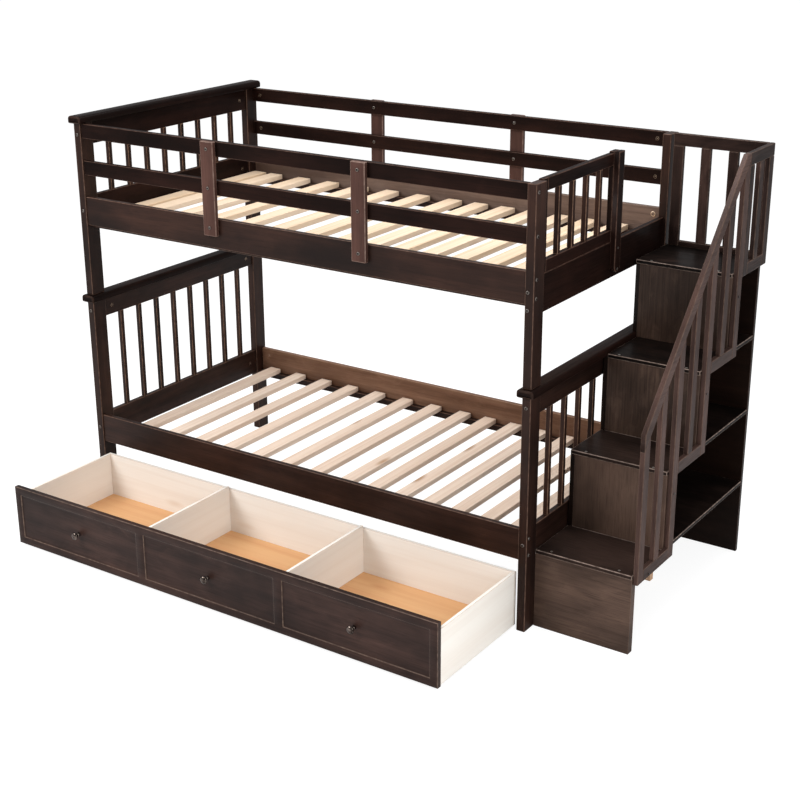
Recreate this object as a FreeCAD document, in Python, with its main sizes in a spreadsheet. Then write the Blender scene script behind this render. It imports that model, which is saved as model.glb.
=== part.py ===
import FreeCAD, Part
import Sketcher

import os
import re

# Bunk bed with storage stairs.
# X runs along the bed from the headboard to the stairs, Y from the open drawer to the back, Z up.
# The pieces are placed from the outer foot corner of the left front post; every corner is then
# shifted so that the origin is the centre of the whole object's footprint, on the floor.

SIZES = {
    # posts and caps
    "bed_length": 2020, "bed_width": 1062, "post_thickness": 33, "post_depth": 67,
    "lower_post_height": 866, "upper_post_height": 681,
    "cap_thickness": 29, "cap_overhang": 15, "cap_round": 11, "cap_edge_round": 6,
    # side rails
    "rail_thickness": 20, "rail_inset": 5,
    "lower_rail_height": 270, "lower_rail_depth": 116,
    "upper_rail_height": 1180, "upper_rail_depth": 112,
    # head rails and balusters
    "head_rail_thickness": 20, "baluster_size": 18, "baluster_count": 8,
    "lower_head_top_depth": 75, "upper_head_top_depth": 87,
    "lower_head_low_height": 275, "lower_head_low_depth": 111,
    # ledgers and slats
    "ledger_width": 25, "ledger_depth": 27, "ledger_rise": 15, "ledger_end_gap": 2,
    "slat_thickness": 20, "slat_end_gap": 7,
    "lower_slat_width": 55, "lower_first_gap": 55, "lower_last_gap": 73.8, "lower_pitch_drop": 22.6,
    "upper_slat_width": 64, "upper_first_gap": 3, "upper_last_gap": 13, "upper_pitch_drop": 31,
    "upper_first_drop": 64,
    # guard rails and straps
    "guard_rail_depth": 56,
    "strap_width": 60, "strap_thickness": 18, "strap_rise": 48, "strap_spacing": 666,
    "strap_low_bolt_rise": 31,
    # entry end of the upper bed
    "end_rail_drop": 43, "end_rail_depth": 132, "end_rail_recess": 12,
    "end_guard_height": 311, "end_guard_rail_depth": 43, "near_stile_width": 30,
    "far_stile_place": 560, "far_stile_width": 43, "far_stile_thickness": 20,
    "far_stile_rise": 23, "far_stile_above": 5, "end_baluster_count": 4,
    # stairs
    "stair_width": 364, "stair_back": 1020, "board_thickness": 15,
    "first_tread_height": 295, "stair_rise": 290.4, "stair_front": 69, "stair_run": 227.5,
    "first_lap": 4, "first_nosing": 1, "riser_inset": 3, "riser_thickness": 15, "first_riser_thickness": 30,
    "side_panel_thickness": 15, "back_panel_thickness": 17,
    "batten_size": 25, "leg_place_x": 2193, "leg_place_y": 592,
    # handrail and guards of the stairs
    "guard_thickness": 18, "guard_stile_width": 40, "guard_baluster_width": 37,
    "handrail_front": 70, "handrail_start": 798, "handrail_level_run": 31.5, "handrail_top": 1582,
    "handrail_depth": 40, "level_rail_depth": 45, "low_rail_depth": 43,
    "low_rail_drop": 20, "first_low_rail_height": 260, "section_offset": 50,
    "back_guard_gap": 8, "back_guard_low_depth": 21,
    # drawer, pulled out
    "drawer_pull": 492, "drawer_depth": 505, "drawer_left_gap": 3, "drawer_right_gap": 9,
    "drawer_front_foot": 11, "drawer_front_height": 238, "drawer_front_thickness": 20,
    "panel_border": 30, "panel_stile": 37, "panel_recess": 4, "panel_bevel": 3,
    "box_left_inset": 14, "box_right_inset": 2, "box_foot": 14, "box_height": 206,
    "box_board": 12, "drawer_floor_height": 36, "drawer_floor_thickness": 5,
    "knob_height": 132, "knob_length": 26, "knob_radius": 15, "knob_neck": 6,
    # casters
    "wheel_radius": 14, "wheel_width": 14, "axle_radius": 2.5, "axle_clearance": 0.1,
    "bracket_plate": 2, "bracket_gap": 1, "bracket_inset_x": 60, "bracket_inset_y": 50,
    # fasteners
    "bolt_radius": 3, "bolt_clearance": 0.2, "bolt_head_radius": 6.5, "bolt_head_height": 3,
    "socket_radius": 2.6, "socket_depth": 2, "nut_radius": 6, "nut_length": 14,
    "nut_clearance": 0.3, "nut_inset": 40, "bolt_rise": 22, "bolt_pitch": 63,
    "end_bolt_low": 26, "end_bolt_pitch": 60, "strap_bolt_bite": 16,
    "screw_radius": 2, "screw_head_radius": 4.5, "screw_head_height": 1.5, "screw_bite": 22,
    "screw_inset_x": 55, "screw_inset_y": 30,
    "dowel_radius": 5, "dowel_length": 40, "dowel_inset": 18,
}
STEP_COUNT = 4
LOWER_SLAT_COUNTS = (8, 6)
UPPER_SLAT_COUNTS = (7, 7)

doc = FreeCAD.newDocument("bunk_bed")
sheet = doc.addObject("Spreadsheet::Sheet", "Size")
for row, (alias, value) in enumerate(SIZES.items(), start=1):
    sheet.set(f"A{row}", alias)
    sheet.set(f"B{row}", str(value))
    sheet.setAlias(f"B{row}", alias)
doc.recompute()

ORIGIN = (
    "(bed_length + stair_width + guard_thickness + screw_head_height - cap_overhang) / 2",
    "(bed_width + cap_overhang - drawer_pull - knob_length) / 2",
    "0",
)
nodes = []
probe = doc.addObject("Part::Box", "probe")


# ---------------------------------------------------------------- making and placing pieces

def cells(text):
    """Write each size's name in an expression as a reference to its cell."""
    return re.sub(r"[a-z_]+[a-z]", lambda word: f"Size.{word[0]}" if word[0] in SIZES else word[0], str(text))


def amount(text):
    """The number that an expression of sizes comes to, where a count is wanted."""
    probe.setExpression("Length", cells(text))
    probe.recompute()
    return probe.Length.Value


def bind(obj, **sizes):
    """Tie each named size of an object to an expression of the sheet's cells."""
    for name, text in sizes.items():
        obj.setExpression(name, cells(text))


def place(obj, corner):
    """Put an object's own origin at a point given from the left front foot."""
    for axis, text, shift in zip("xyz", corner, ORIGIN):
        obj.setExpression(f"Placement.Base.{axis}", cells(f"({text}) - ({shift})"))
    return obj


def block(name, corner, size):
    """A plain board: its lowest corner and its size along X, Y and Z."""
    board = doc.addObject("Part::Box", name)
    bind(board, Length=size[0], Width=size[1], Height=size[2])
    return place(board, corner)


TURNS = {
    "+X": (FreeCAD.Vector(0, 1, 0), 90), "-X": (FreeCAD.Vector(0, 1, 0), -90),
    "+Y": (FreeCAD.Vector(1, 0, 0), -90), "-Y": (FreeCAD.Vector(1, 0, 0), 90),
    "+Z": (FreeCAD.Vector(0, 0, 1), 0), "-Z": (FreeCAD.Vector(1, 0, 0), 180),
}


def rod(name, start, way, radius, length):
    """A round bar from a point, running the way given."""
    bar = doc.addObject("Part::Cylinder", name)
    bind(bar, Radius=radius, Height=length)
    bar.Placement.Rotation = FreeCAD.Rotation(*TURNS[way])
    return place(bar, start)


def cut(name, body, tools):
    """A piece less its holes or notches."""
    if not tools:
        return body
    tool = tools[0]
    if len(tools) > 1:
        tool = doc.addObject("Part::Compound", f"{name}_cuts")
        tool.Links = tools
    result = doc.addObject("Part::Cut", f"{name}_cut")
    result.Base = body
    result.Tool = tool
    return result


def fuse(name, pieces):
    """Several shapes as one solid."""
    result = doc.addObject("Part::MultiFuse", name)
    result.Shapes = pieces
    result.Refine = True
    return result


def node(name, *pieces):
    """Name a sub-part: one piece, or a group of pieces that stay separate solids."""
    sub_part = pieces[0]
    if len(pieces) > 1:
        sub_part = doc.addObject("Part::Compound", f"{name}_group")
        sub_part.Links = list(pieces)
    sub_part.Label = name
    nodes.append(sub_part)
    return sub_part


def moved(point, way, distance):
    """A point carried along one axis by an expression."""
    steps = {"X": 0, "Y": 1, "Z": 2}
    result = list(point)
    result[steps[way[1]]] = f"({point[steps[way[1]]]}) {way[0]} ({distance})"
    return tuple(result)


def opposite(way):
    return {"+": "-", "-": "+"}[way[0]] + way[1]


def base_plane(body, role):
    return next(item for item in body.Origin.OriginFeatures if item.Role == role)


def rectangle(sketch, corner, size):
    """A rectangle from its lowest corner, held by constraints tied to the cells."""
    ends = [(0, 0), (1, 0), (1, 1), (0, 1)]
    first = sketch.GeometryCount
    points = [FreeCAD.Vector(10 * u, 10 * v, 0) for u, v in ends]
    for index in range(4):
        sketch.addGeometry(Part.LineSegment(points[index], points[(index + 1) % 4]), False)
    for index in range(4):
        sketch.addConstraint(Sketcher.Constraint("Coincident", first + index, 2, first + (index + 1) % 4, 1))
    for index, rule in enumerate(("Horizontal", "Vertical", "Horizontal", "Vertical")):
        sketch.addConstraint(Sketcher.Constraint(rule, first + index))
    rules = (
        ("DistanceX", (first, 1, first, 2), size[0]), ("DistanceY", (first + 1, 1, first + 1, 2), size[1]),
        ("DistanceX", (-1, 1, first, 1), corner[0]), ("DistanceY", (-1, 1, first, 1), corner[1]),
    )
    for kind, ends_of_rule, text in rules:
        number = sketch.addConstraint(Sketcher.Constraint(kind, *ends_of_rule, 10.0))
        sketch.setExpression(f"Constraints[{number}]", cells(text))


def padded(name, role, corner, size, length):
    """A body with a rectangle sketched on one of its base planes and padded."""
    body = doc.addObject("PartDesign::Body", name)
    sketch = body.newObject("Sketcher::SketchObject", f"{name}_outline")
    sketch.AttachmentSupport = (base_plane(body, role), [""])
    sketch.MapMode = "FlatFace"
    rectangle(sketch, corner, size)
    pad = body.newObject("PartDesign::Pad", f"{name}_pad")
    pad.Profile = sketch
    bind(pad, Length=length)
    return body, pad


# ---------------------------------------------------------------- places used by several pieces

RIGHT_POST = "bed_length - post_thickness"
BACK_POST = "bed_width - post_depth"
UPPER_POST = "lower_post_height + cap_thickness"
BED_TOP = f"{UPPER_POST} + upper_post_height"
INNER_LENGTH = "bed_length - 2 * post_thickness"
INNER_WIDTH = "bed_width - 2 * post_depth"
BACK_RAIL = "bed_width - rail_inset - rail_thickness"
HEAD_RAIL = "(post_thickness - head_rail_thickness) / 2"
END_RAIL = "bed_length - end_rail_recess - rail_thickness"
SIDES = {"front": ("rail_inset", "0", "-Y"), "back": (BACK_RAIL, BACK_POST, "+Y")}
ENDS = {"left": ("0", "-X"), "right": (RIGHT_POST, "+X")}


def tread_front(step):
    """Front edge of a tread; the first step laps a little past the back of the bed's post."""
    return f"stair_front + {step} * stair_run" if step else "post_depth - first_lap - first_nosing"


def riser_front(step):
    return f"{tread_front(step)} + {'riser_inset' if step else 'first_nosing'}"


def tread_top(step):
    return f"first_tread_height + {step} * stair_rise"


# ---------------------------------------------------------------- fasteners and their holes

bolts = []
nuts = []
screws = []


def bolt(name, seat, way, shank):
    """A button-head bolt whose head sits on the seat; the way runs down the shank."""
    head = rod(f"{name}_head", moved(seat, opposite(way), "bolt_head_height"), way,
               "bolt_head_radius", "bolt_head_height")
    stem = rod(f"{name}_shank", seat, way, "bolt_radius", shank)
    socket = rod(f"{name}_socket", moved(seat, opposite(way), "bolt_head_height"), way,
                 "socket_radius", "socket_depth")
    bolts.append(cut(name, fuse(f"{name}_solid", [head, stem]), [socket]))
    return rod(f"{name}_hole", moved(seat, opposite(way), 1), way,
               "bolt_radius + bolt_clearance", f"{shank} + 2")


def barrel_nut(name, mouth, way, bolt_way, depth):
    """A cross dowel in a blind hole; depth is how far the bolt's axis lies from the mouth."""
    start = moved(mouth, way, f"{depth} - nut_length / 2")
    barrel = rod(f"{name}_barrel", start, way, "nut_radius", "nut_length")
    centre = moved(mouth, way, depth)
    thread = rod(f"{name}_thread", moved(centre, opposite(bolt_way), "2 * nut_radius"), bolt_way,
                 "bolt_radius + bolt_clearance", "4 * nut_radius")
    nuts.append(cut(name, barrel, [thread]))
    return rod(f"{name}_hole", moved(mouth, opposite(way), 1), way,
               "nut_radius + nut_clearance", f"{depth} + nut_length / 2 + nut_clearance + 1")


def screw(name, seat, way):
    """A wood screw with a thin head on the seat; its hole is the same size less its thread."""
    head = rod(f"{name}_head", moved(seat, opposite(way), "screw_head_height"), way,
               "screw_head_radius", "screw_head_height")
    stem = rod(f"{name}_shank", seat, way, "screw_radius", "screw_bite")
    screws.append(fuse(name, [head, stem]))
    return rod(f"{name}_hole", moved(seat, opposite(way), 1), way,
               "screw_radius + bolt_clearance", "screw_bite + 2")


def rail_joint(name, post_face, post_run, rail_mouth, nut_way, axis_depth, way):
    """A bolt through a post into the end of a rail, caught by a barrel nut inside the rail."""
    hole = bolt(name, post_face, way, f"{post_run} + nut_inset + nut_radius")
    nut_hole = barrel_nut(f"{name}_nut", rail_mouth, nut_way, way, axis_depth)
    return hole, nut_hole


# ---------------------------------------------------------------- side rails, guard rails, bolts

post_holes = {f"{level}_{end}_{side}": [] for level in ("lower", "upper") for end in ENDS for side in SIDES}
rail_holes = {}
inward = {"left": "+X", "right": "-X", "front": "+Y", "back": "-Y"}


def side_rail_joints(rail, level, side, heights):
    """Bolt both ends of a rail that runs along X; the nuts open on its inner face."""
    face, _, outward = SIDES[side]
    middle = f"{face} + rail_thickness / 2"
    inner_face = f"{face} + rail_thickness" if side == "front" else face
    for end, (post, _) in ENDS.items():
        outer = post if end == "left" else "bed_length"
        reach = f"post_thickness + nut_inset" if end == "left" else f"{RIGHT_POST} - nut_inset"
        for index, height in enumerate(heights):
            name = f"{rail}_{end}_bolt_{index + 1}"
            hole, nut_hole = rail_joint(name, (outer, middle, height), "post_thickness",
                                        (reach, inner_face, height), outward, "rail_thickness / 2",
                                        inward[end])
            post_holes[f"{level}_{end}_{side}"].append(hole)
            rail_holes.setdefault(rail, []).extend([hole, nut_hole])


def end_rail_joints(rail, level, end, rail_face, thickness, heights):
    """Bolt both ends of a rail that runs along Y; the nuts open towards the mattress."""
    middle = f"{rail_face} + {thickness} / 2"
    mouth = f"{rail_face} + {thickness}" if end == "left" else rail_face
    nut_way = "-X" if end == "left" else "+X"
    for side, (_, post, _) in SIDES.items():
        outer = post if side == "front" else "bed_width"
        reach = "post_depth + nut_inset" if side == "front" else f"{BACK_POST} - nut_inset"
        for index, height in enumerate(heights):
            name = f"{rail}_{side}_bolt_{index + 1}"
            hole, nut_hole = rail_joint(name, (middle, outer, height), "post_depth",
                                        (mouth, reach, height), nut_way, f"{thickness} / 2",
                                        inward[side])
            post_holes[f"{level}_{end}_{side}"].append(hole)
            rail_holes.setdefault(rail, []).extend([hole, nut_hole])


UPPER_RAIL_TOP = "upper_rail_height + upper_rail_depth"
GUARD_GAP = f"({BED_TOP} - ({UPPER_RAIL_TOP}) - 2 * guard_rail_depth) / 2"
GUARD_RAILS = {
    "top": f"{BED_TOP} - guard_rail_depth",
    "mid": f"{UPPER_RAIL_TOP} + {GUARD_GAP}",
}
STRAP_FOOT = "upper_rail_height + strap_rise"
rails = {}
for side, (face, _, _) in SIDES.items():
    for level in ("lower", "upper"):
        rails[f"{level}_{side}_side_rail"] = block(
            f"{level}_{side}_rail_board", ("post_thickness", face, f"{level}_rail_height"),
            (INNER_LENGTH, "rail_thickness", f"{level}_rail_depth"))
        foot = f"{level}_rail_height + bolt_rise"
        side_rail_joints(f"{level}_{side}_side_rail", level, side, (foot, f"{foot} + bolt_pitch"))
    for place_name, height in GUARD_RAILS.items():
        rails[f"{side}_guard_{place_name}"] = block(
            f"{side}_guard_{place_name}_board", ("post_thickness", face, height),
            (INNER_LENGTH, "rail_thickness", "guard_rail_depth"))
        side_rail_joints(f"{side}_guard_{place_name}", "upper", side, (f"{height} + guard_rail_depth / 2",))

# straps tie the guard rails to the side rails, outside the front and outside the back
straps = {"front": [], "back": []}
for side, (face, _, outward) in SIDES.items():
    strap_face = "rail_inset - strap_thickness" if side == "front" else f"{BACK_RAIL} + rail_thickness"
    seat_face = strap_face if side == "front" else face
    for index, sign in enumerate("-+"):
        middle = f"(bed_length {sign} strap_spacing) / 2"
        name = f"{side}_strap_{index + 1}"
        board = block(f"{name}_board", (f"{middle} - strap_width / 2", strap_face, STRAP_FOOT),
                      ("strap_width", "strap_thickness", f"{BED_TOP} - ({STRAP_FOOT})"))
        holes = []
        heights = {f"{side}_guard_{key}": f"{value} + guard_rail_depth / 2"
                   for key, value in GUARD_RAILS.items()}
        heights[f"upper_{side}_side_rail"] = f"{STRAP_FOOT} + strap_low_bolt_rise"
        outer_board = "strap_thickness" if side == "front" else "rail_thickness"
        for rail, height in heights.items():
            hole = bolt(f"{name}_{rail}_bolt", (middle, seat_face, height), "+Y",
                        f"{outer_board} + strap_bolt_bite")
            holes.append(hole)
            rail_holes[rail].append(hole)
        straps[side].append(cut(name, board, holes))


# ---------------------------------------------------------------- head rails and balusters

def baluster_row(name, corner, height, start, room, count):
    """Square sticks with equal gaps, standing in a row along Y between two stiles or posts."""
    sticks = []
    gap = f"({room} - {count} * baluster_size) / ({count} + 1)"
    for index in range(int(amount(count))):
        y = f"{start} + {gap} * {index + 1} + baluster_size * {index}"
        sticks.append(block(f"{name}_{index + 1}", (corner[0], y, corner[1]),
                            ("baluster_size", "baluster_size", height)))
    return sticks


heads = {
    "lower_left": ("0", "lower_post_height - lower_head_top_depth", "lower_head_top_depth",
                   "lower_head_low_height", "lower_head_low_depth"),
    "lower_right": (RIGHT_POST, "lower_post_height - lower_head_top_depth", "lower_head_top_depth",
                    "lower_head_low_height", "lower_head_low_depth"),
    "upper_left": ("0", f"{BED_TOP} - upper_head_top_depth", "upper_head_top_depth",
                   "upper_rail_height", "upper_rail_depth"),
}
head_boards = {}
for head, (post, top, top_depth, low, low_depth) in heads.items():
    level, end = head.split("_")
    x = f"{post} + {HEAD_RAIL}"
    for part_name, height, depth in (("top", top, top_depth), ("low", low, low_depth)):
        rail = f"{head}_head_{part_name}_rail"
        board = block(f"{rail}_board", (x, "post_depth", height), ("head_rail_thickness", INNER_WIDTH, depth))
        end_rail_joints(rail, level, end, x, "head_rail_thickness", (f"{height} + {depth} / 2",))
        head_boards[rail] = cut(rail, board, rail_holes[rail])
    middle = f"{post} + (post_thickness - baluster_size) / 2"
    node(f"{head}_balusters", *baluster_row(
        f"{head}_baluster", (middle, f"{low} + {low_depth}"), f"{top} - {low} - {low_depth}",
        "post_depth", f"({INNER_WIDTH})", "baluster_count"))

node("lower_head_rails", *[head_boards[f"lower_{end}_head_{part_name}_rail"]
                           for end in ENDS for part_name in ("top", "low")])
node("upper_head_top_rail", head_boards["upper_left_head_top_rail"])
node("upper_head_low_rail", head_boards["upper_left_head_low_rail"])

END_FOOT = "upper_rail_height - end_rail_drop"
end_board = block("upper_end_rail_board", (END_RAIL, "post_depth", END_FOOT),
                  ("rail_thickness", INNER_WIDTH, "end_rail_depth"))
end_foot = f"{END_FOOT} + end_bolt_low"
end_rail_joints("upper_end_rail", "upper", "right", END_RAIL, "rail_thickness",
                (end_foot, f"{end_foot} + end_bolt_pitch"))


# ---------------------------------------------------------------- end guard beside the entry

END_TOP = f"{END_FOOT} + end_rail_depth"
near_stile = block("near_stile", (END_RAIL, "post_depth", END_TOP),
                   ("rail_thickness", "near_stile_width", "end_guard_height"))
outer = f"{END_RAIL} + rail_thickness"
round_centre = f"{END_FOOT} + far_stile_rise + far_stile_width / 2"
far_stile = fuse("far_stile", [
    block("far_stile_upper", (END_RAIL, "far_stile_place", END_TOP),
          ("rail_thickness + far_stile_thickness", "far_stile_width", "end_guard_height + far_stile_above")),
    block("far_stile_lower", (outer, "far_stile_place", round_centre),
          ("far_stile_thickness", "far_stile_width", f"{END_TOP} - ({round_centre}) + 1")),
    rod("far_stile_round", (outer, "far_stile_place + far_stile_width / 2", round_centre), "+X",
        "far_stile_width / 2", "far_stile_thickness"),
])
far_holes = []
for index, height in enumerate((f"{END_TOP} - bolt_rise", f"{round_centre} - 10")):
    seat = (f"{outer} + far_stile_thickness", "far_stile_place + far_stile_width / 2", height)
    far_holes.append(screw(f"far_stile_screw_{index + 1}", seat, "-X"))
node("end_guard_stiles", near_stile, cut("far_stile", far_stile, far_holes))
node("upper_end_rail", cut("upper_end_rail", end_board, rail_holes["upper_end_rail"] + far_holes))

guard_room = "far_stile_place - post_depth - near_stile_width"
guard_start = "post_depth + near_stile_width"
low_board = block("end_guard_low", (END_RAIL, guard_start, END_TOP),
                  ("rail_thickness", guard_room, "end_guard_rail_depth"))
top_board = block("end_guard_high",
                  (END_RAIL, guard_start, f"{END_TOP} + end_guard_height - end_guard_rail_depth"),
                  ("rail_thickness", guard_room, "end_guard_rail_depth"))
node("end_guard_rails", low_board, top_board)
node("end_guard_balusters", *baluster_row(
    "end_baluster", (f"{END_RAIL} + (rail_thickness - baluster_size) / 2", f"{END_TOP} + end_guard_rail_depth"),
    "end_guard_height - 2 * end_guard_rail_depth", guard_start, f"({guard_room})",
    "end_baluster_count"))


# ---------------------------------------------------------------- posts, dowels and caps

dowels = []


def dowel(name, centre):
    """A pin that joins two pieces end to end, half in each, upright."""
    start = moved(centre, "-Z", "dowel_length / 2")
    dowels.append(rod(name, start, "+Z", "dowel_radius", "dowel_length"))
    return rod(f"{name}_hole", moved(start, "-Z", 1), "+Z", "dowel_radius + bolt_clearance", "dowel_length + 2")


cap_holes = {"lower_left": [], "lower_right": [], "upper_left": []}
for end, (post, _) in ENDS.items():
    for side, (_, y, _) in SIDES.items():
        middle = f"{post} + post_thickness / 2"
        for index, offset in enumerate(("dowel_inset", "post_depth - dowel_inset")):
            centre = (middle, f"{y} + {offset}", "lower_post_height + cap_thickness / 2")
            hole = dowel(f"{end}_{side}_dowel_{index + 1}", centre)
            post_holes[f"lower_{end}_{side}"].append(hole)
            post_holes[f"upper_{end}_{side}"].append(hole)
            cap_holes[f"lower_{end}"].append(hole)

for level, foot in (("lower", "0"), ("upper", UPPER_POST)):
    for end, (post, _) in ENDS.items():
        for side, (_, y, _) in SIDES.items():
            name = f"{level}_{end}_{side}_post"
            board = block(f"{name}_board", (post, y, foot),
                          ("post_thickness", "post_depth", f"{level}_post_height"))
            node(name, cut(name, board, post_holes[f"{level}_{end}_{side}"]))


def lower_long_edges(feature):
    """The two straight edges along Y that bound a solid's underside."""
    low = feature.Shape.BoundBox.ZMin
    return [f"Edge{number}" for number, edge in enumerate(feature.Shape.Edges, start=1)
            if abs(edge.tangentAt(edge.FirstParameter).y) > 0.9 and abs(edge.CenterOfMass.z - low) < 0.01]


def cap(name, corner, holes):
    """A head cap: a rectangle padded along Y, with its long edges rounded over."""
    body, pad = padded(f"{name}_body", "XZ_Plane", ("0", "0"),
                       ("post_thickness + 2 * cap_overhang", "cap_thickness"), "bed_width + 2 * cap_overhang")
    pad.Reversed = True
    doc.recompute()
    middle = pad.Shape.BoundBox.Center.z
    long_edges = {True: [], False: []}
    for number, edge in enumerate(pad.Shape.Edges, start=1):
        if abs(edge.tangentAt(edge.FirstParameter).y) > 0.9:
            long_edges[edge.CenterOfMass.z > middle].append(f"Edge{number}")
    last = pad
    for upper, radius in ((True, "cap_round"), (False, "cap_edge_round")):
        rounding = body.newObject("PartDesign::Fillet", f"{name}_round_{'over' if upper else 'under'}")
        rounding.Base = (last, long_edges[upper] if upper else lower_long_edges(last))
        bind(rounding, Radius=radius)
        doc.recompute()
        last = rounding
    place(body, corner)
    return cut(name, body, holes)


for name, post, height in (("lower_left", "0", "lower_post_height"),
                           ("lower_right", RIGHT_POST, "lower_post_height"),
                           ("upper_left", "0", BED_TOP)):
    corner = (f"{post} - cap_overhang", "-cap_overhang", height)
    node(f"{name}_cap", cap(f"{name}_cap", corner, cap_holes[name]))

for level in ("lower", "upper"):
    for side in SIDES:
        rail = f"{level}_{side}_side_rail"
        node(rail, cut(rail, rails[rail], rail_holes[rail]))
for side in SIDES:
    boards = [cut(f"{side}_guard_{key}", rails[f"{side}_guard_{key}"], rail_holes[f"{side}_guard_{key}"])
              for key in GUARD_RAILS]
    node(f"{side}_guard_rails", *boards)
node("guard_straps", *straps["front"], *straps["back"])


# ---------------------------------------------------------------- ledgers and slats

for level in ("lower", "upper"):
    ledger_foot = f"{level}_rail_height + ledger_rise - ledger_depth"
    ledgers = []
    for side, (face, _, _) in SIDES.items():
        y = f"{face} + rail_thickness" if side == "front" else f"{face} - ledger_width"
        ledgers.append(block(f"{level}_{side}_ledger", ("post_thickness + ledger_end_gap", y, ledger_foot),
                             (f"{INNER_LENGTH} - 2 * ledger_end_gap", "ledger_width", "ledger_depth")))
    node(f"{level}_ledgers", *ledgers)


def slats(level, places):
    """Slats across the ledgers; the first few lie further apart than the rest."""
    y = "rail_inset + rail_thickness + slat_end_gap"
    length = "bed_width - 2 * (rail_inset + rail_thickness + slat_end_gap)"
    return [block(f"{level}_slat_{index + 1}", (x, y, f"{level}_rail_height + ledger_rise"),
                  (f"{level}_slat_width", length, "slat_thickness")) for index, x in enumerate(places)]


# the slats of a bed share the room between its ends, whatever the bed's length
wide, narrow = LOWER_SLAT_COUNTS
first_place = "post_thickness + lower_first_gap"
last_place = f"{RIGHT_POST} - lower_last_gap - lower_slat_width"
pitch = f"(({last_place} - ({first_place}) + {narrow} * lower_pitch_drop) / {wide + narrow - 1})"
places = [f"{first_place} + {index} * {pitch}" for index in range(wide)]
places += [f"{places[-1]} + {index} * ({pitch} - lower_pitch_drop)" for index in range(1, narrow + 1)]
node("lower_slats", *slats("lower", places))

wide, narrow = UPPER_SLAT_COUNTS
first_place = "post_thickness + upper_first_gap"
last_place = f"{END_RAIL} - upper_last_gap - upper_slat_width"
pitch = (f"(({last_place} - ({first_place}) + upper_first_drop + {narrow} * upper_pitch_drop)"
         f" / {wide + narrow})")
places = [f"{first_place} + {pitch} * {index + 1} - upper_first_drop" for index in range(wide)]
places += [f"{places[-1]} + {index} * ({pitch} - upper_pitch_drop)" for index in range(1, narrow + 1)]
node("upper_slats", *slats("upper", [first_place] + places))


# ---------------------------------------------------------------- stairs

STAIR = "bed_length"
STAIR_OUT = "bed_length + stair_width"
PANEL_OUT = "bed_length + side_panel_thickness"
PANEL_FRONT = "stair_back - back_panel_thickness"


def board_under(step):
    return f"{tread_top(step)} - board_thickness"


def riser_board(step):
    return "riser_thickness" if step else "first_riser_thickness"


tread_holes = []
for step in range(STEP_COUNT):
    places_x = ("bed_length + screw_inset_x", f"{STAIR_OUT} - screw_inset_x")
    screw_y = f"{riser_front(step)} + {riser_board(step)} / 2"
    tread_holes.append([screw(f"tread_{step + 1}_screw_{index + 1}", (x, screw_y, tread_top(step)), "-Z")
                        for index, x in enumerate(places_x)])

# each board is a tread in front of the next riser and a shelf behind it
boards = []
for step in range(STEP_COUNT):
    last = step == STEP_COUNT - 1
    left = PANEL_OUT if step == STEP_COUNT - 2 else STAIR
    rear = "stair_back" if last else PANEL_FRONT
    board = block(f"stair_board_{step + 1}_blank", (left, tread_front(step), board_under(step)),
                  (f"{STAIR_OUT} - ({left})", f"{rear} - ({tread_front(step)})", "board_thickness"))
    cuts = list(tread_holes[step])
    if step < STEP_COUNT - 2:
        notch_front = riser_front(step + 1)
        cuts.append(block(f"stair_board_{step + 1}_notch",
                          (f"{STAIR} - 1", notch_front, f"{board_under(step)} - 1"),
                          ("side_panel_thickness + 1", f"{rear} - ({notch_front}) + 1", "board_thickness + 2")))
    boards.append(cut(f"stair_board_{step + 1}", board, cuts))
node("stair_boards", *boards)

risers = []
for step in range(STEP_COUNT):
    foot = tread_top(step - 1) if step else "0"
    left = PANEL_OUT if step else STAIR
    board = block(f"riser_{step + 1}_blank", (left, riser_front(step), foot),
                  (f"{STAIR_OUT} - ({left})", riser_board(step), f"{board_under(step)} - ({foot})"))
    risers.append(cut(f"riser_{step + 1}", board, tread_holes[step]))
node("stair_risers", *risers)

# the panel beside the bed steps up under the treads and stops below the head cap;
# a second panel carries on above the cap
first_riser_back = f"{riser_front(0)} + first_riser_thickness"
panel_parts = [block("side_panel_1", (STAIR, first_riser_back, "0"),
                     ("side_panel_thickness", f"stair_back - ({first_riser_back})", board_under(0)))]
for step, height in ((1, board_under(1)), (2, "lower_post_height")):
    front = riser_front(step)
    panel_parts.append(block(f"side_panel_{step + 1}", (STAIR, front, f"{board_under(step - 1)} - 1"),
                             ("side_panel_thickness", f"stair_back - ({front})",
                              f"{height} - ({board_under(step - 1)}) + 1")))
upper_front = riser_front(STEP_COUNT - 1)
upper_panel = block("side_panel_above_cap", (STAIR, upper_front, UPPER_POST),
                    ("side_panel_thickness", f"stair_back - ({upper_front})",
                     f"{board_under(STEP_COUNT - 1)} - ({UPPER_POST})"))
node("stair_side_panels", fuse("side_panel_stepped", panel_parts), upper_panel)

node("stair_back_panel", block("stair_back_panel_board", (PANEL_OUT, PANEL_FRONT, "0"),
                               ("stair_width - side_panel_thickness", "back_panel_thickness",
                                board_under(STEP_COUNT - 1))))
node("stair_support_leg", block("stair_leg_board", ("leg_place_x", "leg_place_y", "0"),
                                ("batten_size", "batten_size", board_under(0))))


# ---------------------------------------------------------------- handrail of the stairs

PLATFORM = f"{tread_front(STEP_COUNT - 1)} + section_offset"
BEND = f"{PLATFORM} - handrail_level_run"
SLOPE = f"((handrail_top - handrail_start) / ({BEND} - handrail_front))"
UPRIGHT_DEPTH = f"(handrail_depth * sqrt(1 + {SLOPE} ^ 2))"


def rail_line(y):
    """Height of the sloping rail's top edge."""
    return f"(handrail_start + {SLOPE} * (({y}) - handrail_front))"


def rail_under(y):
    return f"({rail_line(y)} - {UPRIGHT_DEPTH})"


def section_end(section):
    """Where a stepped section of the handrail ends, at the outer edge of its stile."""
    return f"{tread_front(section + 1)} + section_offset"


def low_rail_foot(section):
    return "first_low_rail_height" if section == 0 else f"{tread_top(section)} - low_rail_drop"


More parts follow.
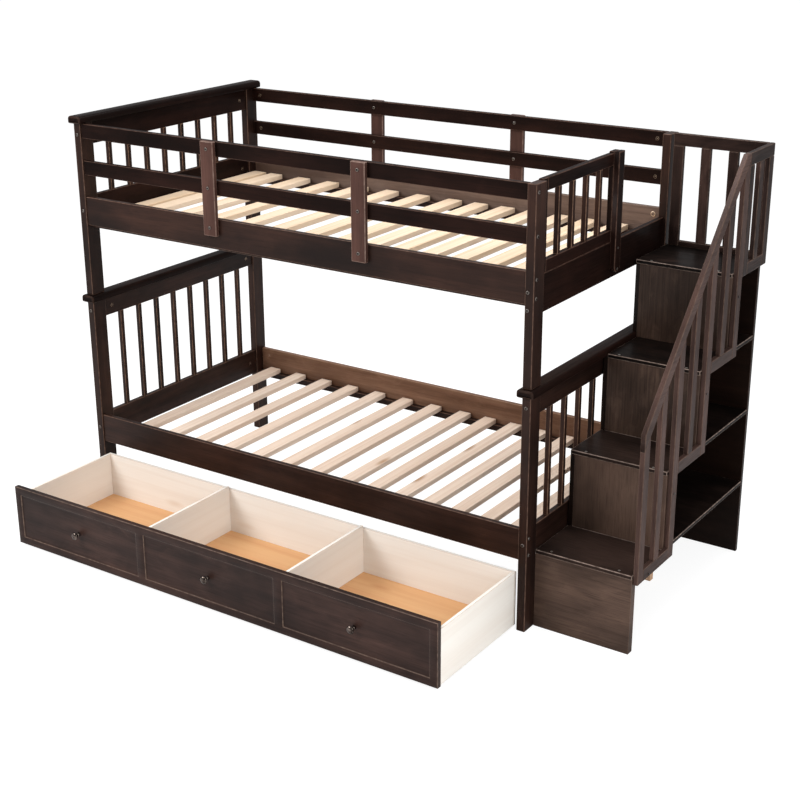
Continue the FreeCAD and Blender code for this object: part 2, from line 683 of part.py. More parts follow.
def slanted(name, start, end, foots, tops):
    """A board across the handrail's thickness whose lower and upper edges may slope along Y."""
    board = doc.addObject("Part::Wedge", name)
    bind(board, Xmin=0, Xmax="guard_thickness", X2min=0, X2max="guard_thickness", Ymin=0,
         Ymax=f"{end} - ({start})", Zmin=0, Zmax=f"{tops[0]} - ({foots[0]})",
         Z2min=f"{foots[1]} - ({foots[0]})", Z2max=f"{tops[1]} - ({foots[0]})")
    return place(board, (STAIR_OUT, start, foots[0]))


batten_holes = {}
stiles = [slanted("handrail_stile_front", "handrail_front", "handrail_front + guard_stile_width",
                  ("first_low_rail_height",) * 2,
                  (rail_under("handrail_front"), rail_under("handrail_front + guard_stile_width")))]
low_rails = []
sticks = []
for section in range(STEP_COUNT - 1):
    start = "handrail_front + guard_stile_width" if section == 0 else section_end(section - 1)
    end = section_end(section)
    foot = low_rail_foot(section)
    stile_start = f"{end} - guard_stile_width"
    low_rail = block(f"low_rail_{section + 1}_board", (STAIR_OUT, start, foot),
                     ("guard_thickness", f"{stile_start} - ({start})", "low_rail_depth"))
    if section == 0:
        first_hole = screw("low_rail_screw", (f"{STAIR_OUT} + guard_thickness",
                                              f"{start} + guard_stile_width + screw_head_radius",
                                              "first_low_rail_height + screw_inset_y / 3"), "-X")
        low_rail = cut("low_rail_1", low_rail, [first_hole])
    low_rails.append(low_rail)
    stile = slanted(f"handrail_stile_{section + 1}", stile_start, end, (foot, foot),
                    (rail_under(stile_start), rail_under(end)))
    batten_y = f"{riser_front(section + 1)} + riser_thickness"
    batten_holes[section] = screw(
        f"stile_{section + 1}_screw", (f"{STAIR_OUT} + guard_thickness", f"{batten_y} + batten_size / 2",
                                       f"{tread_top(section + 1)} - 2 * low_rail_depth"), "-X")
    stiles.append(cut(f"stile_{section + 1}", stile, [batten_holes[section]]))
    stick_start = f"(({start}) + ({stile_start}) - guard_baluster_width) / 2"
    stick_end = f"{stick_start} + guard_baluster_width"
    stick_foot = f"{foot} + low_rail_depth"
    sticks.append(slanted(f"handrail_stick_{section + 1}", stick_start, stick_end, (stick_foot, stick_foot),
                          (rail_under(stick_start), rail_under(stick_end))))

# level frame beside the platform
platform_foot = low_rail_foot(STEP_COUNT - 1)
level_foot = "handrail_top - level_rail_depth"
level_rail = block("level_rail", (STAIR_OUT, PLATFORM, level_foot),
                   ("guard_thickness", f"stair_back - ({PLATFORM})", "level_rail_depth"))
inner_start = f"{PLATFORM} + guard_stile_width"
inner_room = f"stair_back - ({PLATFORM}) - 2 * guard_stile_width"
for name, y in (("platform_stile_near", PLATFORM), ("platform_stile_far", "stair_back - guard_stile_width")):
    stiles.append(block(name, (STAIR_OUT, y, platform_foot),
                        ("guard_thickness", "guard_stile_width", f"{level_foot} - ({platform_foot})")))
low_rails.append(block("low_rail_platform", (STAIR_OUT, inner_start, platform_foot),
                       ("guard_thickness", inner_room, "low_rail_depth")))
stick_foot = f"{platform_foot} + low_rail_depth"
sticks.append(block("handrail_stick_platform",
                    (STAIR_OUT, f"{inner_start} + ({inner_room} - guard_baluster_width) / 2", stick_foot),
                    ("guard_thickness", "guard_baluster_width", f"{level_foot} - ({stick_foot})")))

sloping_rail = fuse("sloping_rail", [
    slanted("sloping_rail_run", "handrail_front", BEND, (rail_under("handrail_front"), rail_under(BEND)),
            (rail_line("handrail_front"), rail_line(BEND))),
    slanted("sloping_rail_head", BEND, PLATFORM, (rail_under(BEND), rail_under(PLATFORM)),
            ("handrail_top", "handrail_top")),
])
node("handrail_top_rails", sloping_rail, level_rail)
node("handrail_stiles", *stiles)
node("handrail_low_rails", *low_rails)
node("handrail_balusters", *sticks)

# battens behind the risers and under the first board take the handrail's screws
battens = [cut("batten_low", block(
    "batten_low_board", (f"{STAIR_OUT} - batten_size", first_riser_back, f"{board_under(0)} - batten_size"),
    ("batten_size", "stair_run - first_riser_thickness", "batten_size")), [first_hole])]
for section in range(STEP_COUNT - 1):
    batten_y = f"{riser_front(section + 1)} + riser_thickness"
    foot = tread_top(section)
    board = block(f"batten_{section + 1}_board", (f"{STAIR_OUT} - batten_size", batten_y, foot),
                  ("batten_size", "batten_size", f"{board_under(section + 1)} - ({foot})"))
    battens.append(cut(f"batten_{section + 1}", board, [batten_holes[section]]))
node("stair_battens", *battens)


# ---------------------------------------------------------------- guard behind the platform

GUARD_X = "bed_length + back_guard_gap"
GUARD_Y = "stair_back - guard_thickness"
guard_foot = tread_top(STEP_COUNT - 1)
guard_height = f"handrail_top - ({guard_foot})"
frame = []
for name, x in (("left", GUARD_X), ("right", f"{STAIR_OUT} - guard_stile_width")):
    frame.append(block(f"back_guard_{name}_stile", (x, GUARD_Y, guard_foot),
                       ("guard_stile_width", "guard_thickness", f"{guard_height} - level_rail_depth")))
frame.append(block("back_guard_top", (GUARD_X, GUARD_Y, level_foot),
                   ("stair_width - back_guard_gap", "guard_thickness", "level_rail_depth")))
guard_span = "stair_width - back_guard_gap - 2 * guard_stile_width"
frame.append(block("back_guard_low", (f"{GUARD_X} + guard_stile_width", GUARD_Y, guard_foot),
                   (guard_span, "guard_thickness", "back_guard_low_depth")))
node("back_guard_frame", *frame)
guard_gap = f"({guard_span} - 2 * guard_baluster_width) / 3"
node("back_guard_balusters", *[
    block(f"back_guard_stick_{index + 1}",
          (f"{GUARD_X} + guard_stile_width + {guard_gap} * {index + 1} + guard_baluster_width * {index}",
           GUARD_Y, f"{guard_foot} + back_guard_low_depth"),
          ("guard_baluster_width", "guard_thickness",
           f"{guard_height} - level_rail_depth - back_guard_low_depth"))
    for index in range(2)])


# ---------------------------------------------------------------- drawer

DRAWER_X = "post_thickness + drawer_left_gap"
DRAWER_WIDTH = f"({INNER_LENGTH} - drawer_left_gap - drawer_right_gap)"
FRONT_BACK = "drawer_front_thickness - drawer_pull"
DRAWER_REAR = "drawer_depth - drawer_pull"
BOX_X = f"{DRAWER_X} + box_left_inset"
BOX_WIDTH = f"({DRAWER_WIDTH} - box_left_inset - box_right_inset)"
BOX_ROOM = "drawer_depth - drawer_front_thickness - box_board"
PANEL = f"(({DRAWER_WIDTH} - 2 * panel_border - 2 * panel_stile) / 3)"

body, pad = padded("drawer_front_body", "XZ_Plane", ("0", "0"), (DRAWER_WIDTH, "drawer_front_height"),
                   "drawer_front_thickness")
pad.Reversed = True
doc.recompute()
field = body.newObject("Sketcher::SketchObject", "drawer_panel_outline")
field.AttachmentSupport = (base_plane(body, "XZ_Plane"), [""])
field.MapMode = "FlatFace"
rectangle(field, ("panel_border", "panel_border"), (PANEL, "drawer_front_height - 2 * panel_border"))
recess = body.newObject("PartDesign::Pocket", "drawer_panel")
recess.Profile = field
bind(recess, Length="panel_recess")
recess.Reversed = True
solid_volume = pad.Shape.Volume
doc.recompute()
if recess.Shape.Volume >= solid_volume:
    recess.Reversed = False
    doc.recompute()
panels = body.newObject("PartDesign::LinearPattern", "drawer_panels")
panels.Originals = [recess]
panels.Direction = (field, ["H_Axis"])
panels.Mode = "Spacing"
panels.Occurrences = 3
bind(panels, Offset=f"{PANEL} + panel_stile")
body.Tip = panels
place(body, (DRAWER_X, "-drawer_pull", "drawer_front_foot"))
node("drawer_front", body)

sides = [block(f"drawer_side_{index + 1}", (x, FRONT_BACK, "box_foot"),
               ("box_board", BOX_ROOM, "box_height"))
         for index, x in enumerate((BOX_X, f"{BOX_X} + {BOX_WIDTH} - box_board"))]
node("drawer_sides", *sides)
node("drawer_back", block("drawer_back_board", (BOX_X, f"{DRAWER_REAR} - box_board", "box_foot"),
                          (BOX_WIDTH, "box_board", "box_height")))
FLOOR_TOP = "drawer_floor_height + drawer_floor_thickness"
bay = f"(({BOX_WIDTH} - 4 * box_board) / 3)"
node("drawer_dividers", *[
    block(f"drawer_divider_{index + 1}", (f"{BOX_X} + box_board + {index + 1} * {bay} + {index} * box_board",
                                          FRONT_BACK, FLOOR_TOP),
          ("box_board", BOX_ROOM, f"box_foot + box_height - {FLOOR_TOP}")) for index in range(2)])
node("drawer_bottom", block("drawer_bottom_board", (f"{BOX_X} + box_board", FRONT_BACK, "drawer_floor_height"),
                            (f"{BOX_WIDTH} - 2 * box_board", BOX_ROOM, "drawer_floor_thickness")))


def knob(name, x):
    """A turned mushroom knob: a foot, a narrow neck and a domed head."""
    foot = rod(f"{name}_foot", (x, "-drawer_pull + panel_recess", "knob_height"), "-Y",
               "knob_neck + 2", "panel_recess + 3")
    neck = rod(f"{name}_neck", (x, "-drawer_pull", "knob_height"), "-Y", "knob_neck", "knob_length - 8")
    dome = doc.addObject("Part::Ellipsoid", f"{name}_dome")
    bind(dome, Radius1="9", Radius2="knob_radius", Radius3="knob_radius")
    dome.Placement.Rotation = FreeCAD.Rotation(*TURNS["-Y"])
    place(dome, (x, "9 - drawer_pull - knob_length", "knob_height"))
    return fuse(name, [foot, neck, dome])


first_knob = f"{DRAWER_X} + panel_border + {PANEL} / 2"
node("drawer_knobs", *[knob(f"knob_{index + 1}", f"{first_knob} + {index} * ({PANEL} + panel_stile)")
                       for index in range(3)])


# ---------------------------------------------------------------- casters under the drawer

caster_rows = (f"{FRONT_BACK} + bracket_inset_y", f"{DRAWER_REAR} - box_board - bracket_inset_y")
caster_columns = (f"{BOX_X} + bracket_inset_x", f"{BOX_X} + {BOX_WIDTH} - bracket_inset_x")
caster_places = [(x, y) for y in caster_rows for x in caster_columns]
CHEEK = "bracket_plate"
TREAD_HALF = "wheel_width / 2"
brackets = []
axles = []
for index, (x, y) in enumerate(caster_places):
    name = f"caster_{index + 1}"
    cheeks = [block(f"{name}_cheek_{side}",
                    (place_x, f"{y} - wheel_radius / 2", "wheel_radius - axle_radius * 2"),
                    (CHEEK, "wheel_radius", "drawer_floor_height - wheel_radius + axle_radius * 2"))
              for side, place_x in (("left", f"{x} - {TREAD_HALF} - bracket_gap - {CHEEK}"),
                                    ("right", f"{x} + {TREAD_HALF} + bracket_gap"))]
    plate = block(f"{name}_plate", (f"{x} - {TREAD_HALF} - bracket_gap - {CHEEK}", f"{y} - wheel_radius",
                                    "drawer_floor_height - bracket_plate"),
                  (f"wheel_width + 2 * bracket_gap + 2 * {CHEEK}", "2 * wheel_radius", "bracket_plate"))
    axle_start = (f"{x} - {TREAD_HALF} - bracket_gap - {CHEEK}", y, "wheel_radius")
    span = f"wheel_width + 2 * bracket_gap + 2 * {CHEEK}"
    axles.append(rod(f"{name}_axle", axle_start, "+X", "axle_radius", span))
    bore = rod(f"{name}_bore", moved(axle_start, "-X", 1), "+X", "axle_radius + axle_clearance", f"{span} + 2")
    brackets.append(cut(f"{name}_bracket", fuse(f"{name}_fork", cheeks + [plate]), [bore]))
    wheel = rod(f"{name}_disc", (f"{x} - {TREAD_HALF}", y, "wheel_radius"), "+X", "wheel_radius", "wheel_width")
    node(f"caster_wheel_{index + 1}", cut(f"{name}_wheel", wheel, [bore]))
node("caster_brackets", *brackets)
node("caster_axles", *axles)

node("frame_bolts", *bolts)
node("barrel_nuts", *nuts)
node("wood_screws", *screws)
node("dowel_pins", *dowels)


# ---------------------------------------------------------------- check and write

doc.recompute()
for obj in doc.Objects:
    if "Invalid" in obj.State or "Error" in obj.State:
        raise RuntimeError(f"{obj.Label} failed: {obj.State}")
for sub_part in nodes:
    if sub_part.Shape.isNull() or not sub_part.Shape.isValid():
        raise RuntimeError(f"{sub_part.Label} has no valid shape")

os.makedirs("parts", exist_ok=True)
for sub_part in nodes:
    sub_part.Shape.exportStep(f"parts/{sub_part.Label}.step")
print(len(nodes), "sub-parts,", sum(len(sub_part.Shape.Solids) for sub_part in nodes), "solids")
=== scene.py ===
# %% [markdown]
# # Bunk bed with storage stairs
#
# Two bed frames stand one on the other, a long drawer rolls out from under the lower one, and a
# flight of box stairs stands against the right-hand end. The measured model of every board is
# loaded first. It never moves: each finished piece below is worked out from its corners, so the
# looks and the construction can't drift apart.

import bpy
import numpy as np
from mathutils import Matrix, Vector


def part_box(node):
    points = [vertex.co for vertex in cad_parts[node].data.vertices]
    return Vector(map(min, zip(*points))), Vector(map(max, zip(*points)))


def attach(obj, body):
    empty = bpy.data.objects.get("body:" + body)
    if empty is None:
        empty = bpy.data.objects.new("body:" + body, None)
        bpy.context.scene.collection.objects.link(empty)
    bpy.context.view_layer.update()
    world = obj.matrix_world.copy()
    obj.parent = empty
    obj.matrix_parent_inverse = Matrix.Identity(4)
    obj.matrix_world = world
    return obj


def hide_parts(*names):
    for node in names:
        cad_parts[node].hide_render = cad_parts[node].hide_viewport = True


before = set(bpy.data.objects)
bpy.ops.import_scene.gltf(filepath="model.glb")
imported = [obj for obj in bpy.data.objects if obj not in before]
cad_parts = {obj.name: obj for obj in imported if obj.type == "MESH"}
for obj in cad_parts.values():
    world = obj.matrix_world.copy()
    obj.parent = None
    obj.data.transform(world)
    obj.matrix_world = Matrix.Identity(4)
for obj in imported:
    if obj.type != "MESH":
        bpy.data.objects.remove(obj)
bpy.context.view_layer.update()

# %% [markdown]
# ## Reading the boards out of the model
#
# A node can hold several boards that touch. Two boards that touch share corner points, so looking
# for shared points would glue them together. An edge inside one board always has exactly two
# triangles, so the labels below travel only across such edges.


# %% Find the separate boards of a node
def solids_of(node):
    """The corner points of each solid in a node. Every triangle takes the smallest label among
    its neighbours across edges that two triangles share, again and again until nothing changes."""
    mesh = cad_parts[node].data
    mesh.calc_loop_triangles()
    points = np.empty(len(mesh.vertices) * 3, np.float32)
    mesh.vertices.foreach_get("co", points)
    corners = np.empty(len(mesh.loop_triangles) * 3, np.int32)
    mesh.loop_triangles.foreach_get("vertices", corners)
    points, merged = np.unique(points.reshape(-1, 3).round(5), axis=0, return_inverse=True)
    triangles = merged.ravel()[corners].reshape(-1, 3)
    edges = np.sort(triangles[:, [[0, 1], [1, 2], [2, 0]]].reshape(-1, 2), axis=1)
    _, edge, count = np.unique(edges, axis=0, return_inverse=True, return_counts=True)
    edge = edge.ravel()
    order = np.argsort(edge, kind="stable")
    pairs = order[count[edge[order]] == 2].reshape(-1, 2) // 3
    label = np.arange(len(triangles))
    while True:
        low = label[pairs].min(axis=1)
        spread = label.copy()
        np.minimum.at(spread, pairs.ravel(), np.repeat(low, 2))
        spread = spread[spread]
        if (spread == label).all():
            break
        label = spread
    return [points[np.unique(triangles[label == kind])] for kind in np.unique(label)]


print(len(solids_of("lower_slats")), "slats in the lower bed")

# %% [markdown]
# ## A board with softened edges
#
# No sanded board has a knife edge, and the thin bright line along an edge is what makes wood
# furniture look real. A bevel modifier could do it, but a formula is cleaner: take the surface of
# a cube's lattice, pull it to the board's size, and push each point onto a small ball that rolls
# round inside the corners. The same formula gives exact normals, so the flat faces shade flat.

# %% The lattice that every board is made from
ROUNDING = 3  # steps across one rounded edge


def lattice(lines):
    """Points and quads of the six sides of a cube of lines x lines x lines points."""
    u, v = np.meshgrid(np.arange(lines), np.arange(lines), indexing="ij")
    sides = []
    for axis in range(3):
        for level in (0, lines - 1):
            point = np.empty((lines, lines, 3), int)
            point[..., axis] = level
            point[..., (axis + 1) % 3] = u
            point[..., (axis + 2) % 3] = v
            quad = np.stack([point[:-1, :-1], point[1:, :-1], point[1:, 1:], point[:-1, 1:]], axis=2)
            sides.append((quad if level else quad[:, :, ::-1]).reshape(-1, 3))
    points, index = np.unique(np.concatenate(sides), axis=0, return_inverse=True)
    return points, index.reshape(-1, 4)


LAST = 2 * ROUNDING + 1
GRID, QUADS = lattice(LAST + 1)
print(len(GRID), "points and", len(QUADS), "faces in each board")


# %% One board
WIDEST_EDGE = 0.42  # an edge's radius never takes more than this share of the thinnest side


def board(low, high, radius, feet=None, tops=None):
    """A box from low to high whose edges are rounded. Line number n near a side lies
    radius x (1 - cos(n / ROUNDING x 90 degrees)) in from it. The inner box is the box drawn in by
    the radius, and each point is moved to the radius's distance from it, along its normal.
    feet and tops give the heights of the board's underside and top at its two Y ends."""
    low, high = np.array(low, float), np.array(high, float)
    radius = min(radius, WIDEST_EDGE * (high - low).min())
    share = 1 - np.cos(np.minimum(GRID, LAST - GRID) / ROUNDING * np.pi / 2)
    share = np.where(np.minimum(GRID, LAST - GRID) >= ROUNDING, 1.0, share)
    point = np.where(GRID <= ROUNDING, low + radius * share, high - radius * share)
    inner = np.clip(point, low + radius, high - radius)
    normal = point - inner
    normal /= np.linalg.norm(normal, axis=1, keepdims=True)
    point = inner + radius * normal
    edge = ((np.minimum(GRID, LAST - GRID) < ROUNDING).sum(axis=1) > 1).astype(float)
    if feet is not None:
        along = (point[:, 1] - low[1]) / (high[1] - low[1])
        up = (point[:, 2] - low[2]) / (high[2] - low[2])
        foot, top = (ends[0] + (ends[1] - ends[0]) * along for ends in (feet, tops))
        point[:, 2] = foot + (top - foot) * up
        slope = ((feet[1] - feet[0]) * (1 - up) + (tops[1] - tops[0]) * up) / (high[1] - low[1])
        normal[:, 1] -= slope * normal[:, 2]
        normal /= np.linalg.norm(normal, axis=1, keepdims=True)
    return point, QUADS, normal, edge


print("an edge is rounded in", ROUNDING, "steps")

# %% [markdown]
# ## Turning arrays into pieces
#
# Each mesh carries three numbers with it for the finishes: `grain`, a place measured along and
# across its own board with a random start, `tint`, a shade of its own for each board, and `edge`,
# from nought to one, which marks the edges where finishes lay their worn shades and painted
# highlights. Because the grain is measured along the board, it runs the right way on a post, a rail
# and a slat with one and the same finish.

# %% Build a piece
draw = np.random.default_rng(41)
LOG_SIZE = 9.0  # each board starts somewhere in a log this many metres long, wide and deep


def grain_of(point, along=None):
    """A place on the board with the board's length first, from a random start in the log."""
    size = point.max(axis=0) - point.min(axis=0)
    order = np.argsort(-size, kind="stable")
    if along is not None:
        order = np.array([along] + [axis for axis in order if axis != along])
    return (point - point.min(axis=0))[:, order] + draw.uniform(0, LOG_SIZE, 3)


def piece(name, body, finish, shapes, standing_for, along=None, tints=None):
    """Join shapes of points, faces, normals and edge marks into one mesh with its attributes, in
    place of the nodes in standing_for. along is the axis of the grain, one for all boards or a
    tuple with one for each. tints gives the boards their shades; otherwise each is drawn."""
    points, normals, grain, tint, edge, faces = [], [], [], [], [], []
    start = 0
    for number, (point, quads, normal, mark) in enumerate(shapes):
        points.append(point)
        normals.append(normal)
        edge.append(mark)
        grain.append(grain_of(point, along[number] if isinstance(along, tuple) else along))
        shade = draw.uniform()
        tint.append(np.full(len(point), shade if tints is None else tints[number]))
        faces += [tuple(int(index) + start for index in face) for face in quads]
        start += len(point)
    mesh = bpy.data.meshes.new(name)
    mesh.from_pydata(np.concatenate(points).tolist(), [], faces)
    layers = (("grain", "FLOAT_VECTOR", grain), ("tint", "FLOAT", tint), ("edge", "FLOAT", edge))
    for label, kind, values in layers:
        layer = mesh.attributes.new(label, kind, "POINT")
        values = np.concatenate(values).astype(np.float32)
        layer.data.foreach_set("vector" if kind == "FLOAT_VECTOR" else "value", values.ravel())
    mesh.shade_smooth()
    mesh.normals_split_custom_set_from_vertices(np.concatenate(normals).tolist())
    mesh.materials.append(finish)
    made = bpy.data.objects.new(name, mesh)
    bpy.context.scene.collection.objects.link(made)
    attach(made, body)
    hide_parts(*standing_for)
    return made


print("patterns start anywhere in a log of", LOG_SIZE, "m")

# %% A piece shaded by its own faces
SMOOTH_BELOW = 40  # degrees between two faces


def faceted(name, body, finish, shape, standing_for, along):
    """A piece whose normals are left to its faces, smooth where they meet at a small angle."""
    points, faces, mark = shape
    shapes = [(points, faces, np.zeros_like(points), mark)]
    made = piece(name, body, finish, shapes, standing_for, along)
    mesh = made.data
    if "custom_normal" in mesh.attributes:
        mesh.attributes.remove(mesh.attributes["custom_normal"])
    mesh.set_sharp_from_angle(angle=np.radians(SMOOTH_BELOW))
    return made


print("faces that meet at under", SMOOTH_BELOW, "degrees shade as one")

# %% Boards straight from a node
TOUCH = 1e-4  # corners nearer than a tenth of a millimetre count as level


def ends_of(points):
    """Underside and top of a solid at its two Y ends, which differ on a stick cut to a slope."""
    near = points[points[:, 1] < points[:, 1].min() + TOUCH]
    far = points[points[:, 1] > points[:, 1].max() - TOUCH]
    return (near[:, 2].min(), far[:, 2].min()), (near[:, 2].max(), far[:, 2].max())


def boards_of(node, radius):
    """Every solid of a node as a softened board."""
    shapes = []
    for points in solids_of(node):
        feet, tops = ends_of(points)
        low, high = points.min(axis=0), points.max(axis=0)
        level = abs(feet[0] - feet[1]) + abs(tops[0] - tops[1]) < TOUCH
        shapes.append(board(low, high, radius) if level else board(low, high, radius, feet, tops))
    return shapes


def dress(node, finish, radius, body="bed", along=None, tints=None):
    """Stand softened, finished boards in a node's place, the lowest board first."""
    shapes = sorted(boards_of(node, radius), key=lambda shape: shape[0][:, 2].min())
    return piece(f"{node}_boards", body, finish, shapes, [node], along, tints)


def boxes_of(node):
    """The low and high corner of each solid in a node, the lowest solid first."""
    boxes = [(points.min(axis=0), points.max(axis=0)) for points in solids_of(node)]
    return sorted(boxes, key=lambda box: box[0][2])


print("the treads lie at", [round(float(high[2]), 3) for _, high in boxes_of("stair_boards")], "m")

# %% [markdown]
# ## Wiring a finish
#
# A finish is a small network of nodes. The helper below adds one node at a time and hands back
# the socket that comes out of it, so a recipe reads from top to bottom.

# %% The finish helper
class Finish:
    """A material on the work bench."""

    def __init__(self, name, **fixed):
        """fixed holds the values that are the same all over the surface."""
        self.material = bpy.data.materials.new(name)
        self.material.use_nodes = True
        self.tree = self.material.node_tree
        self.shader = self.tree.nodes["Principled BSDF"]
        for socket, value in fixed.items():
            self.shader.inputs[socket.replace("_", " ")].default_value = value

    def feed(self, socket, value):
        """Wire a socket, or set it where the value is a plain number or colour."""
        if isinstance(value, bpy.types.NodeSocket):
            self.tree.links.new(value, socket)
        else:
            socket.default_value = value

    def add(self, kind, wires=None, out=0, **settings):
        """Place one node, wire its inputs and hand back one of its outputs."""
        node = self.tree.nodes.new(f"ShaderNode{kind}")
        for setting, value in settings.items():
            setattr(node, setting, value)
        for key, value in (wires or {}).items():
            self.feed(node.inputs[key], value)
        return node.outputs[out]

    def place(self, repeats, source="grain"):
        """Where a pattern is read: the place in metres times its repeats in a metre, so that a
        small number along the board makes long streaks."""
        if source == "object":
            start = self.add("TexCoord", out="Object")
        else:
            start = self.add("Attribute", out="Vector", attribute_name=source)
        return self.add("Mapping", {"Vector": start, "Scale": repeats})

    def mark(self, name):
        """The tint or the edge mark that the mesh carries."""
        return self.add("Attribute", out="Fac", attribute_name=name)

    def noise(self, place, detail=4.0, roughness=0.55, distortion=0.0):
        """Clouds from nought to one, with finer clouds added in as many turns as detail says."""
        return self.add("TexNoise", {"Vector": place, "Scale": 1.0, "Detail": detail,
                                     "Roughness": roughness, "Distortion": distortion})

    def span(self, value, low, high, to_low=0.0, to_high=1.0):
        """Stretch a range of values, cut off at both ends."""
        return self.add("MapRange", {0: value, 1: low, 2: high, 3: to_low, 4: to_high})

    def times(self, a, b):
        """One value times the other."""
        return self.add("Math", {0: a, 1: b}, operation="MULTIPLY")

    def mix(self, share, a, b):
        """From a to b as the share goes from nought to one."""
        return self.add("Mix", {0: share, 6: a, 7: b}, out=2, data_type="RGBA", blend_type="MIX")

    def bump(self, height, strength, distance):
        """Tilt the shading as if height were a relief this many metres deep."""
        out = self.add("Bump", {"Height": height, "Strength": strength, "Distance": distance})
        self.feed(self.shader.inputs["Normal"], out)

    def wear(self, **sockets):
        """Connect the finished values to the shader."""
        for socket, value in sockets.items():
            self.feed(self.shader.inputs[socket.replace("_", " ")], value)
        return self.material


def colour(code):
    """A colour written as on a paint card, as the linear numbers that the shader wants: a value v
    becomes ((v + 0.055) / 1.055) to the power 2.4, or v / 12.92 where it is very dark."""
    value = np.array([int(code[at:at + 2], 16) for at in (0, 2, 4)]) / 255
    linear = np.where(value <= 0.04045, value / 12.92, ((value + 0.055) / 1.055) ** 2.4)
    return (*linear.tolist(), 1.0)


def paint(node, finish):
    """Finish a node that is shown just as the model has it."""
    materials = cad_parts[node].data.materials
    materials.clear()
    materials.append(finish)


print("a mid grey is", round(colour("808080")[0], 3), "to the shader")

# %% [markdown]
# ## Espresso stain
#
# The frame is pine stained almost black-brown under a satin lacquer. The stain sinks into the
# soft bands of the grain and stays thin on the hard ones, so long streaks of two close shades run
# along each board. Sanding before the last coat lets a little wood through on the edges, and the
# paler shade there is also a painted highlight.

# %% Stained wood
# Repeats in a metre, first along the board and then across it in both ways.
BANDS, BLOTCHES, CLOUDS = (0.9, 22, 22), (9, 17, 17), (2.4, 4.5, 4.5)
PORES, EDGE_BREAKUP = (11, 300, 300), (55, 55, 55)


def stained(name, deep, light, rub_and_highlight, gloss=0.42, streak=1.0, banding=1.0, rub_and_highlight_share=0.5, tinting=0.3,
            clouding=0.65, shine=0.1, source="grain"):
    """Stain between a deep and a light shade. Bands and blotches lighten it, then the board's own
    tint; clouds and pores darken it again; last, the edge mark times broken-up noise shows the
    paler edge shade, which is part wear and part painted highlight. streak narrows the bands, and
    banding, tinting, clouding and the edge share are the most that each step may do. gloss is the
    middle roughness and shine the strength of the mirror."""
    finish = Finish(name, Coat_Weight=0.03, Coat_Roughness=0.14, Specular_IOR_Level=shine)
    along, across, through = BANDS
    band_place = finish.place((along, across * streak, through * streak), source)
    bands = finish.noise(band_place, 5.0, 0.6, 0.5)
    pores = finish.noise(finish.place(PORES, source), 3.0, 0.6)
    clouds = finish.noise(finish.place(CLOUDS, source), 3.0)
    blotches = finish.noise(finish.place(BLOTCHES, source), 4.0, 0.6, 0.8)
    shade = finish.mix(finish.span(bands, 0.3, 0.72, 0.0, banding), colour(deep), colour(light))
    shade = finish.mix(finish.span(blotches, 0.5, 0.72, 0.0, 0.45), shade, colour(light))
    shade = finish.mix(finish.times(finish.mark("tint"), tinting), shade, colour(light))
    shade = finish.mix(finish.span(clouds, 0.38, 0.66, 0.0, clouding), shade, colour(deep))
    shade = finish.mix(finish.span(pores, 0.5, 0.75, 0.0, 0.55), shade, colour(deep))
    # The paler edge shade is part wear through the stain and part painted highlight.
    edge_breakup = finish.noise(finish.place(EDGE_BREAKUP, source), 4.0)
    edge_breakup = finish.span(edge_breakup, 0.3, 0.66, 0.25, 1.0)
    wear_and_highlight = finish.times(finish.times(finish.mark("edge"), edge_breakup), rub_and_highlight_share)
    shade = finish.mix(wear_and_highlight, shade, colour(rub_and_highlight))
    finish.bump(finish.mix(0.5, pores, bands), 0.14, 0.0006)
    roughness = finish.span(pores, 0.3, 0.7, gloss - 0.08, gloss + 0.1)
    return finish.wear(Base_Color=shade, Roughness=roughness)


print("bands repeat", BANDS[1], "times in a metre across a board")

# %% The bed's stains
# The third shade of each stain is its paler edge shade: part wear, part painted highlight.
frame_stain = stained("frame_stain", "120a08", "3a251d", "7c6051", rub_and_highlight_share=0.6, clouding=0.75)
dark_stain = stained("dark_stain", "0c0706", "291813", "6d5347", rub_and_highlight_share=0.5, clouding=0.75, shine=0.03)
stick_stain = stained("baluster_stain", "120a08", "3a241b", "9a7862", rub_and_highlight_share=0.8)
low_back_stain = stained("lower_back_rail_stain", "553a2b", "97735c", "a88c76", streak=0.8)
high_back_stain = stained("upper_back_rail_stain", "43332c", "7b665a", "8c7768", streak=0.8)
strap_stain = stained("strap_stain", "33211c", "5b3e36", "a38a7d", rub_and_highlight_share=0.55)
tread_stain = stained("tread_stain", "0b0807", "362924", "98857a", tinting=0.9, banding=0.3, rub_and_highlight_share=0.9,
                      clouding=0.88, shine=0.02)
riser_stain = stained("riser_stain", "1d1410", "675145", "7d675a", streak=4.5, banding=0.4, tinting=0.75,
                      rub_and_highlight_share=0.35, clouding=0.7)
rail_stain = stained("handrail_stain", "120b09", "57413a", "7f695c", streak=1.4, banding=0.5, tinting=0.95,
                     rub_and_highlight_share=0.4, shine=0.06)
panel_stain = stained("panel_stain", "0e0806", "22150f", "5c483f", source="object")
front_stain = stained("drawer_front_stain", "170e0c", "4b352e", "917a6b", gloss=0.4, banding=0.8,
                      rub_and_highlight_share=0.9, clouding=0.75)
print("stained finishes ready")

# %% [markdown]
# ## Raw pine
#
# The slats and the stair's support leg are planed pine with no finish at all: pale, matt,
# with fine lines of late wood along the length and now and then a knot with a dark heart. The
# drawer's cream and plywood boards are the same recipe with fewer rings and closer shades.

# %% Pine and drawer boards
FLATNESS = 2.4  # the rings lie this many times closer across a board than through it


